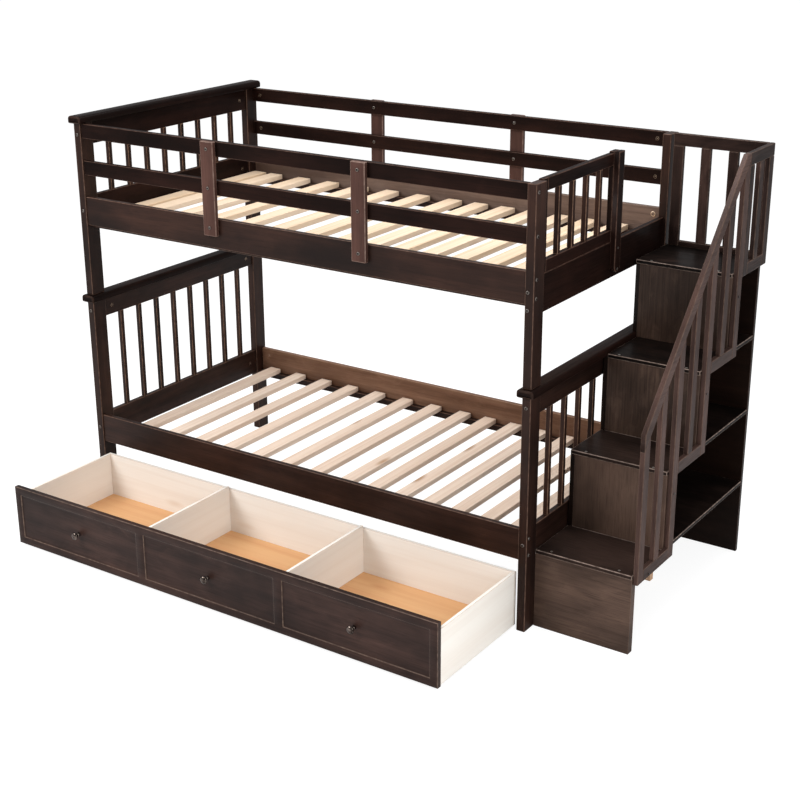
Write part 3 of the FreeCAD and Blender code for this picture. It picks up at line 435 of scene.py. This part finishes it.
def pine(name, pale, line, knot, gloss=0.62, rings=40, rim=None):
    """Lines, a blush and fibres darken the pale shade towards the line's. A knot shows wherever a
    place is near the middle of a cell of a Voronoi pattern. rings is the number of lines in a
    metre, and rim a shade that shows along the board's edges."""
    finish = Finish(name, Specular_IOR_Level=0.3)
    lines = finish.noise(finish.place((0.9, rings * FLATNESS, rings)), 4.0, 0.55, 0.6)
    fibres = finish.noise(finish.place((14, 420, 420)), 2.0)
    blush = finish.noise(finish.place((1.4, 9, 9)), 2.0)
    cells = finish.add("TexVoronoi", {"Vector": finish.place((2.6, 9, 9)), "Scale": 1.0})
    heart = finish.span(cells, 0.05, 0.16, 1.0, 0.0)
    shade = finish.mix(finish.span(lines, 0.42, 0.68, 0.0, 0.75), colour(pale), colour(line))
    shade = finish.mix(finish.span(blush, 0.4, 0.75, 0.0, 0.35), shade, colour(line))
    shade = finish.mix(finish.times(finish.mark("tint"), 0.35), shade, colour(line))
    shade = finish.mix(finish.span(fibres, 0.5, 0.8, 0.0, 0.18), shade, colour(line))
    shade = finish.mix(heart, shade, colour(knot))
    if rim:
        shade = finish.mix(finish.times(finish.mark("edge"), 0.7), shade, colour(rim))
    finish.bump(finish.mix(0.5, fibres, lines), 0.15, 0.0005)
    roughness = finish.span(fibres, 0.3, 0.7, gloss - 0.06, gloss + 0.1)
    return finish.wear(Base_Color=shade, Roughness=roughness)


print("the rings are", FLATNESS, "times closer across a board than through it")

# %% The pale boards' finishes
lower_pine = pine("lower_slat_pine", "ead9c9", "d0b49e", "ab8767")
upper_pine = pine("upper_slat_pine", "e6d0b8", "d0b290", "a8835f")
leg_pine = pine("leg_pine", "e3c0a2", "c79c7a", "94714c")
drawer_cream = pine("drawer_cream", "f0ebe3", "e9e1d7", "e4d9cc", gloss=0.5, rings=16, rim="c09a7c")
drawer_ply = pine("drawer_ply", "dcae7c", "d0996a", "cc9566", gloss=0.5, rings=20)
print("pale finishes ready")

# %% [markdown]
# ## Metal and wheels
#
# The bolts are blackened steel, the pulls dark bronze, and the casters are zinc-plated brackets
# with moulded wheels. Even a metal that looks even has fine brushing
# and slightly uneven roughness, and that is what keeps it from looking like plastic.

# %% Hardware finishes
# A dark painted shade for the screw heads furthest along X.
PAINTED_SCREW_SHADE = "1d1613"


def metal(name, base, glint, rough, metallic=1.0, specks=900, ring=None, shaded_beyond=None):
    """Two shades, a base and a painted glint, mixed by a broad smear, with specks that rough it. ring
    is the shade of faces that carry the edge mark. Heads further along X than shaded_beyond, in
    metres, take a dark painted shade."""
    finish = Finish(name, Metallic=metallic)
    speck = finish.noise(finish.place((specks,) * 3, "object"), 3.0)
    smear = finish.noise(finish.place((60,) * 3, "object"), 2.0)
    shade = finish.mix(finish.span(smear, 0.35, 0.7), colour(base), colour(glint))
    if ring:
        shade = finish.mix(finish.mark("edge"), shade, colour(ring))
    if shaded_beyond:
        along_x = finish.add("SeparateXYZ", {"Vector": finish.add("TexCoord", out="Object")}, out=0)
        beyond = finish.span(along_x, shaded_beyond, shaded_beyond + 0.002)
        shade = finish.mix(beyond, shade, colour(PAINTED_SCREW_SHADE))
    finish.bump(speck, 0.08, 0.0003)
    roughness = finish.span(speck, 0.3, 0.7, rough - 0.06, rough + 0.1)
    return finish.wear(Base_Color=shade, Roughness=roughness)


print("dark heads are", PAINTED_SCREW_SHADE, "on a paint card")

# %% Bolts, nuts, pulls and casters
# The bolts' ring shade is a painted highlight on each head's rim; the nuts' is pale round each mouth and a
# painted glint in each slot.
bolt_black = metal("bolt_black", "141211", "24201e", 0.3, ring="6a635e")
nut_steel = metal("nut_steel", "14100e", "241d18", 0.4, ring="c2ab94")
knob_bronze = metal("knob_bronze", "2e2723", "776b64", 0.2)
# The screws beyond 1.18 m along X take the dark painted shade instead of zinc.
screw_zinc = metal("screw_zinc", "8f8a84", "b4aea6", 0.35, shaded_beyond=1.18)
caster_zinc = metal("caster_zinc", "a9a9a6", "c9c9c4", 0.32)
wheel_black = metal("wheel_black", "1b1b1b", "2c2c2c", 0.5, metallic=0.0, specks=500)
paint("wood_screws", screw_zinc)
for node in ("dowel_pins", "caster_brackets", "caster_axles"):
    paint(node, caster_zinc)
for number in range(1, 5):
    paint(f"caster_wheel_{number}", wheel_black)
print("hardware finishes ready")

# %% [markdown]
# ## The two bed frames
#
# Posts, rails, balusters and slats are all plain boards, so each node is dressed the same way.
# Only the amount of rounding differs: the posts and guard boards are softened more than the slats.

# %% Posts, rails and balusters
SOFT, CRISP = 0.003, 0.0018
STICK_EDGE, STRAP_EDGE = 0.002, 0.004
for level in ("lower", "upper"):
    for end in ("left", "right"):
        for side in ("front", "back"):
            dress(f"{level}_{end}_{side}_post", frame_stain, SOFT)
for node in ("lower_head_rails", "lower_front_side_rail", "upper_front_side_rail", "lower_ledgers",
             "upper_ledgers"):
    dress(node, frame_stain, SOFT)
for node in ("upper_head_top_rail", "upper_head_low_rail", "front_guard_rails", "back_guard_rails",
             "upper_end_rail", "end_guard_rails"):
    dress(node, dark_stain, SOFT)
for node in ("lower_left_balusters", "lower_right_balusters", "upper_left_balusters",
             "end_guard_balusters"):
    dress(node, stick_stain, STICK_EDGE)
dress("lower_back_side_rail", low_back_stain, SOFT)
dress("upper_back_side_rail", high_back_stain, SOFT)
dress("guard_straps", strap_stain, STRAP_EDGE)
print("edges", SOFT, CRISP, STICK_EDGE, "and", STRAP_EDGE, "m round")

# %% [markdown]
# ## Slats and blocks
#
# What carries the mattresses, and what stands behind the stairs, was never stained. The two beds'
# slats are separate finishes because the upper ones are yellower.

# %% Slats and hidden blocks
dress("lower_slats", lower_pine, CRISP)
dress("upper_slats", upper_pine, CRISP)
for node in ("stair_support_leg", "stair_battens"):
    dress(node, leg_pine, CRISP)
print(len(solids_of("upper_slats")), "slats in the upper bed")

# %% [markdown]
# ## Boards cut to an outline
#
# The head caps, the sloping handrail and the end guard's outer stile aren't boxes. Each is an
# outline carried along a line, like a moulding pushed through a machine, with its two ends eased:
# at an angle a the outline is drawn in by r (1 - sin a) and lies r (1 - cos a) from the end. The
# caps get the largest r, so that their noses look worn round and not sawn off.


# %% Carry an outline along an axis
FLAT_RING = 1.6  # one more ring, this many radii in, keeps the cut end shading flat
SHARPEST = 0.3  # holds back the push at a very sharp corner


def moulding(outline, axis, start, end, radius, steps=3):
    """The outline, drawn in ring by ring towards each end by radius x (1 - sin a) at the place
    radius x (1 - cos a) from it. A corner moves along the sum of its two sides' outward normals,
    over one plus their dot product, so that both sides move in alike.
    outline holds (u, v) points, turning from the axis's next axis towards the one after it."""
    outline = np.array(outline, float)
    ahead = np.roll(outline, -1, axis=0) - outline
    ahead /= np.linalg.norm(ahead, axis=1, keepdims=True)
    outward = np.stack([ahead[:, 1], -ahead[:, 0]], axis=1)
    before = np.roll(outward, 1, axis=0)
    push = (outward + before) / (1 + (outward * before).sum(axis=1, keepdims=True)).clip(SHARPEST)
    turn = np.linspace(0, np.pi / 2, steps + 1)
    inset = np.append(radius * FLAT_RING, radius * (1 - np.sin(turn)))
    depth = np.append(0.0, radius * (1 - np.cos(turn)))
    rings = np.concatenate([inset, inset[::-1]])
    places = np.concatenate([start + depth, end - depth[::-1]])
    flat = outline[None] - push[None] * rings[:, None, None]
    point = np.empty((len(rings), len(outline), 3))
    point[..., axis] = places[:, None]
    point[..., (axis + 1) % 3] = flat[..., 0]
    point[..., (axis + 2) % 3] = flat[..., 1]
    count = len(outline)
    ring, spot = np.meshgrid(np.arange(len(rings) - 1), np.arange(count), indexing="ij")
    here, after = ring * count + spot, ring * count + (spot + 1) % count
    faces = np.stack([here, after, after + count, here + count], axis=-1).reshape(-1, 4).tolist()
    faces.append(list(range(count))[::-1])
    faces.append([(len(rings) - 1) * count + spot for spot in range(count)])
    lean = np.concatenate([[-1], -np.cos(turn), np.cos(turn[::-1]), [1]])
    side = np.sqrt(1 - lean ** 2)
    normal = np.zeros_like(point)
    unit = (outward + before) / np.linalg.norm(outward + before, axis=1, keepdims=True)
    normal[..., axis] = lean[:, None]
    normal[..., (axis + 1) % 3] = side[:, None] * unit[None, :, 0]
    normal[..., (axis + 2) % 3] = side[:, None] * unit[None, :, 1]
    mark = np.repeat(np.concatenate([[0], np.ones(steps), [0, 0], np.ones(steps), [0]]), count)
    return point.reshape(-1, 3), faces, normal.reshape(-1, 3), mark


print("a cut end is flat from", FLAT_RING, "radii in")

# %% Part of a circle
def arc(centre, radius, start, end, steps=5):
    """Points on part of a circle: the centre plus radius x (cos a, sin a), a in quarter turns."""
    turn = np.linspace(start, end, steps) * np.pi / 2
    return np.stack([centre[0] + radius * np.cos(turn), centre[1] + radius * np.sin(turn)], axis=1)


print("a quarter circle has", len(arc((0, 0), 1, 0, 1)), "points")

# %% Head caps
def cap_outline(x0, x1, z0, z1, over=0.012, under=0.006):
    """A cap's section across the bed: well rounded above and only eased below. Given as (z, x),
    because a moulding along Y reads Z before X."""
    corners = [arc((z1 - over, x1 - over), over, 0, 1), arc((z0 + under, x1 - under), under, 1, 2),
               arc((z0 + under, x0 + under), under, 2, 3), arc((z1 - over, x0 + over), over, 3, 4)]
    return np.concatenate(corners)


# The nose's rounded end takes the stain's paler edge shade, part wear and part painted highlight.
NOSE, NOSE_STEPS, NOSE_WEAR_AND_HIGHLIGHT = 0.006, 5, 0.35
for node in ("lower_left_cap", "lower_right_cap", "upper_left_cap"):
    low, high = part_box(node)
    outline = cap_outline(low.x, high.x, low.z, high.z)
    points, faces, normals, mark = moulding(outline, 1, low.y, high.y, NOSE, NOSE_STEPS)
    cap = (points, faces, normals, NOSE_WEAR_AND_HIGHLIGHT * mark)
    piece(f"{node}_moulding", "bed", dark_stain, [cap], [node])
print("caps carried along", round(high.y - low.y, 3), "m")

# %% [markdown]
# ## Stairs
#
# Each tread runs right through to the back as the shelf of the cubby below the next step. The
# first two boards are notched round the panel beside the bed, which doesn't show: the front of
# the board and its shelf are drawn as two boards that meet under the riser.

# %% Treads, risers and panels
panel_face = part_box("stair_side_panels")[1].x
riser_boxes = boxes_of("stair_risers")
NOTCHED = 2  # the first boards, counted from the floor, that are notched
treads = []
for number, (low, high) in enumerate(boxes_of("stair_boards")):
    if number < NOTCHED:
        split = riser_boxes[number + 1][0][1]
        treads.append(board(low, (high[0], split, high[2]), SOFT))
        treads.append(board((panel_face, split, low[2]), high, SOFT))
    else:
        treads.append(board(low, high, SOFT))
TREAD_TINTS, RISER_TINTS = (1.0, 0.2, 0.7, 0.2, 0.0, 0.0), (0.6, 0.85, 0.25, 0.3)
piece("stair_boards_treads", "bed", tread_stain, treads, ["stair_boards"], 0,
      TREAD_TINTS)
dress("stair_risers", riser_stain, CRISP, along=(0, 2, 2, 2), tints=RISER_TINTS)
dress("stair_back_panel", panel_stain, CRISP, along=2)
paint("stair_side_panels", panel_stain)
print(len(riser_boxes), "risers and", len(treads), "boards for the treads")

# %% [markdown]
# ## Handrail
#
# The outer handrail climbs with the stairs: three stepped frames under one sloping rail, then a
# level frame beside the platform, and a matching guard behind it. Each board's shade is listed,
# from the lowest up, and the boards are darker towards the platform.

# %% Handrail frames
RAIL_TINTS = {"handrail_stiles": (0.85, 0.75, 0.6, 0.3, 0.0, 0.0),
              "handrail_low_rails": (0.8, 0.6, 0.3, 0.0),
              "handrail_balusters": (0.75, 0.55, 0.25, 0.0),
              "back_guard_frame": (0.05,) * 4,
              "back_guard_balusters": (0.05,) * 2}
for node, tints in RAIL_TINTS.items():
    dress(node, rail_stain, SOFT, tints=tints)


def from_the_front(node):
    """The solids of a node, the one nearest to the foot of the stairs first."""
    return sorted(solids_of(node), key=lambda points: points[:, 1].min())


def heights_at(points, y):
    """The heights of a solid's corners at one Y."""
    return points[abs(points[:, 1] - y) < 2 * TOUCH][:, 2]


sloping, level_rail = from_the_front("handrail_top_rails")
near, far = sloping[:, 1].min(), sloping[:, 1].max()
top = sloping[:, 2].max()
bend = sloping[sloping[:, 2] > top - TOUCH][:, 1].min()
outline = [(near, heights_at(sloping, near).min()), (far, heights_at(sloping, far).min()),
           (far, top), (bend, top), (near, heights_at(sloping, near).max())]
rail_shapes = [moulding(outline, 0, sloping[:, 0].min(), sloping[:, 0].max(), SOFT),
               board(level_rail.min(axis=0), level_rail.max(axis=0), SOFT)]
piece("handrail_top_rails_boards", "bed", rail_stain, rail_shapes,
      ["handrail_top_rails"], 1, (0.7, 0.0))
print("handrail climbs from", round(heights_at(sloping, near).max(), 3), "to", round(top, 3), "m")

# %% [markdown]
# ## End guard
#
# The stile beside the entry runs down over the end rail and ends in a half round. It is drawn as
# two shapes: the shield-shaped board outside the rail, and a plain one that stands on the rail.

# %% End guard stiles
FOOT_STEPS = 13
near_stile, far_stile = from_the_front("end_guard_stiles")
rail_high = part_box("upper_end_rail")[1]
low, high = far_stile.min(axis=0), far_stile.max(axis=0)
half = (high[1] - low[1]) / 2
foot = arc((low[1] + half, low[2] + half), half, 2, 4, FOOT_STEPS)
shield = np.concatenate([foot, [[high[1], high[2]], [low[1], high[2]]]])
stile_shapes = [board(near_stile.min(axis=0), near_stile.max(axis=0), SOFT),
                moulding(shield, 0, rail_high.x, high[0], SOFT),
                board((low[0], low[1], rail_high.z), (rail_high.x, high[1], high[2]), SOFT)]
piece("end_guard_stiles_boards", "bed", dark_stain, stile_shapes,
      ["end_guard_stiles"], 2)
print("the stile's foot is", round(float(2 * half), 3), "m across")

# %% [markdown]
# ## Drawer
#
# The drawer front carries three sunk panels. Its surface is a height field: the depth at a place
# depends only on how far inside the nearest panel it lies, so the corners of the step come out by
# themselves. Grid lines fall exactly on the step, whose crest is painted paler: part wear through
# the stain and part painted highlight, stronger on the upright steps than on the level ones.

# %% Grid lines of the drawer front
low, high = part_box("drawer_front")
BORDER, STILE, PANELS = 0.030, 0.037, 3
panel_width = (high.x - low.x - 2 * BORDER - 2 * STILE) / PANELS
STEP_IN = np.array([-0.0010, 0.0, 0.0008, 0.0018, 0.0100])
STEP_DEPTH = np.array([0.0, 0.0004, 0.0030, 0.0038, 0.0042])
# The paler line on the step's crest and on the board's edge is part wear and part painted highlight; it is
# painted stronger on the upright steps than on the level ones.
STEP_WEAR_AND_HIGHLIGHT = np.array([0.0, 1.0, 0.5, 0.0, 0.0])
UPRIGHT_WEAR_AND_HIGHLIGHT, LEVEL_WEAR_AND_HIGHLIGHT, EDGE_WEAR_AND_HIGHLIGHT = 1.0, 0.7, 0.5
EASE = 0.0025  # radius of the board's own eased edges
ease_turn = np.linspace(0, np.pi / 2, 4)
ease_in, ease_back = EASE * (1 - np.cos(ease_turn)), EASE * (1 - np.sin(ease_turn))


def lines_with(start, end, panels):
    """Grid lines over the front: its eased edges and every line of each panel's step."""
    lines = [start + ease_in, end - ease_in]
    for first, last in panels:
        lines += [first + STEP_IN, last - STEP_IN]
    return np.unique(np.concatenate(lines).round(6))


panel_starts = [low.x + BORDER + number * (panel_width + STILE) for number in range(PANELS)]
panel_x = [(start, start + panel_width) for start in panel_starts]
sill, head = low.z + BORDER, high.z - BORDER
columns = lines_with(low.x, high.x, panel_x)
rows = lines_with(low.z, high.z, [(sill, head)])
print(len(columns), "by", len(rows), "grid lines")

# %% Drawer front
# How far inside the nearest panel a place lies is the least of its distances to the panel's four
# sides, and the most of that over the three panels. The step is then a function of it alone.
across, up = np.meshgrid(columns, rows, indexing="ij")
to_upright = np.max([np.minimum(across - first, last - across) for first, last in panel_x], axis=0)
to_level = np.minimum(up - sill, head - up)
inside = np.minimum(to_upright, to_level)
to_edge = np.minimum.reduce([across - low.x, high.x - across, up - low.z, high.z - up])
depth = np.interp(inside, STEP_IN, STEP_DEPTH) + np.interp(to_edge, ease_in, ease_back)
front = np.stack([across, low.y + depth, up], axis=-1)
# How pale each place is painted: part wear, part painted highlight.
wear_and_highlight = np.interp(inside, STEP_IN, STEP_WEAR_AND_HIGHLIGHT)
wear_and_highlight *= np.where(to_upright < to_level, UPRIGHT_WEAR_AND_HIGHLIGHT, LEVEL_WEAR_AND_HIGHLIGHT)
wear = np.clip(wear_and_highlight + EDGE_WEAR_AND_HIGHLIGHT * (to_edge < EASE * 0.9), 0, 1)
index = np.arange(across.size).reshape(across.shape)
faces = np.stack([index[:-1, :-1], index[1:, :-1], index[1:, 1:], index[:-1, 1:]], axis=-1).reshape(-1, 4)

# Two more rings run round the rim: one just behind the eased edge and one at the back.
rim = np.concatenate([index[:, 0], index[-1, 1:], index[-2::-1, -1], index[0, -2:0:-1]])
front_points, front_faces, ring = front.reshape(-1, 3), faces.tolist(), rim
for depth_back in (low.y + EASE + 0.001, high.y):
    ring_points = front_points[rim].copy()
    ring_points[:, 1] = depth_back
    next_ring = np.arange(len(rim)) + len(front_points)
    walls = np.stack([np.roll(ring, -1), ring, next_ring, np.roll(next_ring, -1)], axis=-1)
    front_faces += walls.tolist()
    front_points, ring = np.concatenate([front_points, ring_points]), next_ring
front_faces.append(ring[::-1].tolist())
front_wear_and_highlight = np.concatenate([wear.ravel(), np.zeros(2 * len(rim))])
faceted("drawer_front_board", "drawer", front_stain,
        (front_points, front_faces, front_wear_and_highlight), ["drawer_front"], 0)
print("drawer front has", len(front_faces), "faces")

# %% [markdown]
# ## Drawer box
#
# Behind the front the drawer is a plain box of painted boards on a plywood bottom, split into
# three bays. Thin sheet has sharper edges than solid pine, so these are hardly rounded.

# %% Drawer box
BOX_EDGE, SHEET_EDGE = 0.0012, 0.0008
for node in ("drawer_sides", "drawer_back", "drawer_dividers"):
    dress(node, drawer_cream, BOX_EDGE, "drawer")
dress("drawer_bottom", drawer_ply, SHEET_EDGE, "drawer")
print("drawer box edges", BOX_EDGE, "and", SHEET_EDGE, "m round")

# %% [markdown]
# ## Turned pieces
#
# A knob, a bolt or a barrel nut is a curve spun round an axis. The two parameters are the place
# along the curve and the angle; the curve is listed from the buried end to the tip.

# %% Spin a curve round an axis
TURN_STEPS = 32


def spun(profile, centre, axis, way, sides=TURN_STEPS):
    """Each point of the profile goes round the axis: the centre plus way x distance along it and
    radius x (cos a, sin a) across it. profile holds (distance, radius, edge mark); the distance
    runs towards the axis's positive end if way is 1 and its negative end if way is -1."""
    profile = np.array(profile, float)
    angle = np.arange(sides) / sides * 2 * np.pi
    point = np.empty((len(profile), sides, 3))
    point[..., axis] = centre[axis] + way * profile[:, :1]
    point[..., (axis + 1) % 3] = centre[(axis + 1) % 3] + profile[:, 1:2] * np.cos(angle)
    point[..., (axis + 2) % 3] = centre[(axis + 2) % 3] + profile[:, 1:2] * np.sin(angle)
    ring, spot = np.meshgrid(np.arange(len(profile) - 1), np.arange(sides), indexing="ij")
    here, after = ring * sides + spot, ring * sides + (spot + 1) % sides
    faces = np.stack([here, after, after + sides, here + sides], axis=-1).reshape(-1, 4).tolist()
    faces.append([(len(profile) - 1) * sides + spot for spot in range(sides)])
    faces.append(list(range(sides))[::-1])
    return point.reshape(-1, 3), [face[::way] for face in faces], np.repeat(profile[:, 2], sides)


def turned(name, body, finish, node, shapes):
    """Join turned shapes into one piece."""
    all_points, all_marks, all_faces, start = [], [], [], 0
    for points, faces, mark in shapes:
        all_points.append(points)
        all_marks.append(mark)
        all_faces += [[index + start for index in face] for face in faces]
        start += len(points)
    joined = (np.concatenate(all_points), all_faces, np.concatenate(all_marks))
    return faceted(name, body, finish, joined, [node], 0)


print("a full turn is drawn in", TURN_STEPS, "steps")

# %% Knobs
# A round foot against the front, a waist, and a flattened ball: distance out and radius there.
FOOT = [(-0.004, 0.0078), (0.002, 0.0078), (0.0032, 0.0072)]
WAIST = [(0.0045, 0.006), (0.008, 0.0056), (0.0115, 0.0062)]
BALL = [(0.0135, 0.0085), (0.015, 0.0122), (0.0165, 0.0143), (0.018, 0.015), (0.0195, 0.0148),
        (0.0215, 0.0136), (0.0235, 0.0108), (0.025, 0.007), (0.0258, 0.0032), (0.026, 0.0008)]
knob_profile = [(out, radius, 0) for out, radius in FOOT + WAIST + BALL]
front_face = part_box("drawer_front")[0].y
knobs = [(points.min(axis=0) + points.max(axis=0)) / 2 for points in solids_of("drawer_knobs")]
turned("drawer_knobs_turned", "drawer", knob_bronze, "drawer_knobs",
       [spun(knob_profile, (middle[0], front_face, middle[2]), 1, -1) for middle in knobs])
print(len(knobs), "knobs")

# %% [markdown]
# ## Bolts and barrel nuts
#
# A bolt's head is a low dome with a key's socket: a painted highlight on the rim, dark in the socket,
# which is drawn round because it is so small. The nut that it screws into lies in a hole on the
# mattress side of the rail, with a pale painted highlight round its mouth and a painted glint in
# its slot. On the upper back rail the pale ring round each hole is drawn wider.

# %% Bolts
HEAD_HEIGHT, SHANK, TIP, SMALL_SIDES = 0.003, 0.003, 0.0005, 20
# The rim, with edge mark 1, takes the bolts' painted highlight.
HEAD = [(0.0, SHANK, 0), (0.0, 0.0065, 1), (0.0012, 0.0065, 1), (0.0023, 0.0059, 1),
        (HEAD_HEIGHT, 0.0046, 1), (HEAD_HEIGHT, 0.0034, 1), (0.0027, 0.0028, 0),
        (0.0013, 0.0025, 0), (0.0012, 0.0006, 0)]
ONLY_THE_HEAD = 0.005  # nothing but a head is further than this from a bolt's axis
bolt_shapes = []
for points in solids_of("frame_bolts"):
    low, high = points.min(axis=0), points.max(axis=0)
    axis = int(np.argmax(high - low))
    middle = (low + high) / 2
    others = [(axis + 1) % 3, (axis + 2) % 3]
    radius = np.linalg.norm((points - middle)[:, others], axis=1)
    way = 1 if points[radius > ONLY_THE_HEAD][:, axis].mean() > middle[axis] else -1
    seat = middle.copy()
    seat[axis] = (high[axis] if way > 0 else low[axis]) - way * HEAD_HEIGHT
    length = high[axis] - low[axis] - HEAD_HEIGHT
    profile = [(-length, TIP, 0), (-length, SHANK, 0)] + HEAD
    bolt_shapes.append(spun(profile, seat, axis, way, SMALL_SIDES))
turned("frame_bolts_turned", "bed", bolt_black, "frame_bolts", bolt_shapes)
print(len(bolt_shapes), "bolts")


# %% Barrel nuts
def nut_profile(inner, outer):
    """A barrel and, at the mouth of its hole, a pale ring between two radii; a slot's painted glint in it.
    """
    return [(-0.007, 0.0005, 0), (-0.007, 0.006, 0), (0.0098, 0.006, 0), (0.0101, outer, 1),
            (0.0105, outer - 0.0006, 1), (0.0105, inner + 0.0004, 1), (0.0099, inner, 0),
            (0.0099, 0.0018, 0), (0.0102, 0.0016, 1), (0.0102, 0.0004, 1)]


PLAIN, RINGED = nut_profile(0.0062, 0.0068), nut_profile(0.0064, 0.0100)
slat_low, slat_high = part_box("lower_slats")
rail_low, rail_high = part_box("upper_back_side_rail")
bed_middle = (slat_low + slat_high) / 2
nut_shapes = []
for points in solids_of("barrel_nuts"):
    low, high = points.min(axis=0), points.max(axis=0)
    axis = int(np.argmax(high - low))
    middle = (low + high) / 2
    in_back_rail = rail_low.y < middle[1] < rail_high.y and rail_low.z < middle[2] < rail_high.z
    way = 1 if bed_middle[axis] > middle[axis] else -1
    profile = RINGED if in_back_rail else PLAIN
    nut_shapes.append(spun(profile, middle, axis, way, SMALL_SIDES))
turned("barrel_nuts_turned", "bed", nut_steel, "barrel_nuts", nut_shapes)
print(len(nut_shapes), "barrel nuts")

# %% [markdown]
# ## Room, lamps and camera
#
# The bed stands in a plain pale studio. The floor is white where the camera looks straight at it
# but keeps the bed's soft shadow, so its glow is mixed in for the camera's own rays only, and
# lights nothing.

# %% Floor and backdrop
GLOW, GLOW_SHARE, FLOOR_REACH = 1.24, 0.7, 30.0
paper = Finish("studio_paper", Roughness=0.9)
paper.shader.inputs["Base Color"].default_value = colour("f4f4f4")
glow = paper.add("Emission", {"Color": (1, 1, 1, 1), "Strength": GLOW})
seen = paper.times(paper.add("LightPath", out="Is Camera Ray"), GLOW_SHARE)
both = paper.add("MixShader", {0: seen, 1: paper.shader.outputs[0], 2: glow})
paper.feed(paper.tree.nodes["Material Output"].inputs["Surface"], both)
floor_corners = [(FLOOR_REACH * x, FLOOR_REACH * y, 0) for x, y in ((-1, -1), (1, -1), (1, 1), (-1, 1))]
floor_mesh = bpy.data.meshes.new("studio_floor")
floor_mesh.from_pydata(floor_corners, [], [(0, 1, 2, 3)])
floor_mesh.materials.append(paper.material)
floor = bpy.data.objects.new("studio_floor", floor_mesh)
bpy.context.scene.collection.objects.link(floor)
print("floor", 2 * FLOOR_REACH, "m square")

# %% [markdown]
# ## Light
#
# A dim, even sky fills the shadows; the camera, and rays that pass through something clear, see
# it white. One broad lamp hangs over the near left corner and makes the shadows, a weaker one
# fills from the right, and one above brings out the slats and treads.

# %% Daylight all round
AMBIENT, BACKDROP = 0.55, 1.0
world = bpy.data.worlds.new("studio_world")
world.use_nodes = True
bpy.context.scene.world = world
sky = world.node_tree
ambient = sky.nodes["Background"]
ambient.inputs["Color"].default_value = (0.97, 0.98, 1.0, 1.0)
ambient.inputs["Strength"].default_value = AMBIENT
white = sky.nodes.new("ShaderNodeBackground")
white.inputs["Strength"].default_value = BACKDROP
paths = sky.nodes.new("ShaderNodeLightPath")
either = sky.nodes.new("ShaderNodeMath")
either.operation = "MAXIMUM"
sky.links.new(paths.outputs["Is Camera Ray"], either.inputs[0])
sky.links.new(paths.outputs["Is Transmission Ray"], either.inputs[1])
choose = sky.nodes.new("ShaderNodeMixShader")
sky.links.new(either.outputs[0], choose.inputs[0])
sky.links.new(ambient.outputs[0], choose.inputs[1])
sky.links.new(white.outputs[0], choose.inputs[2])
sky.links.new(choose.outputs[0], sky.nodes["World Output"].inputs["Surface"])
print("sky", AMBIENT, "on the bed and", BACKDROP, "to the camera")


# %% Lamps
def lamp(name, place, target, power, size):
    """A square soft box that faces its target; power in watts, size in metres."""
    light = bpy.data.lights.new(name, "AREA")
    light.energy, light.size = power, size
    made = bpy.data.objects.new(name, light)
    aim = (Vector(target) - Vector(place)).to_track_quat("-Z", "Y").to_matrix().to_4x4()
    made.matrix_world = Matrix.Translation(place) @ aim
    bpy.context.scene.collection.objects.link(made)


lamp("key_lamp", (-2.6, -3.6, 3.6), (0, 0, 0.7), 205, 2.6)
lamp("fill_lamp", (4.4, -1.8, 2.4), (0.4, 0.2, 0.8), 85, 2.4)
lamp("top_lamp", (0.4, 0.8, 4.4), (0, 0.2, 0.6), 135, 3.0)
print(len(bpy.data.lights), "lamps")

# %% [markdown]
# ## Camera
#
# The camera looks slightly down from the right-hand front. Its place is given by two angles and a
# distance from the point that it looks at, and a small roll about the line of sight.

# %% Camera
AZIMUTH, ELEVATION, ROLL = np.radians((34.664, 20.313, -0.427))
AIM, DISTANCE = Vector((-0.09425, 0.2205, 0.5413)), 5.8557
sideways = np.cos(ELEVATION)
back_way = Vector((np.sin(AZIMUTH) * sideways, -np.cos(AZIMUTH) * sideways, np.sin(ELEVATION)))
right_way = (-back_way).cross(Vector((0, 0, 1))).normalized()
up_way = back_way.cross(right_way)
rolled_right = np.cos(ROLL) * right_way + np.sin(ROLL) * up_way
rolled_up = -np.sin(ROLL) * right_way + np.cos(ROLL) * up_way
camera = bpy.data.cameras.new("studio_camera")
camera.lens, camera.sensor_width = 67.04, 36.0
camera.shift_x, camera.shift_y = 0.01725, -0.00768
camera.clip_end = 100
viewer = bpy.data.objects.new("studio_camera", camera)
facing = Matrix((rolled_right, rolled_up, back_way)).transposed().to_4x4()
viewer.matrix_world = Matrix.Translation(AIM + DISTANCE * back_way) @ facing
bpy.context.scene.collection.objects.link(viewer)
bpy.context.scene.camera = viewer
bpy.context.scene.view_settings.view_transform = "Standard"
print("camera at", [round(value, 3) for value in viewer.matrix_world.translation])
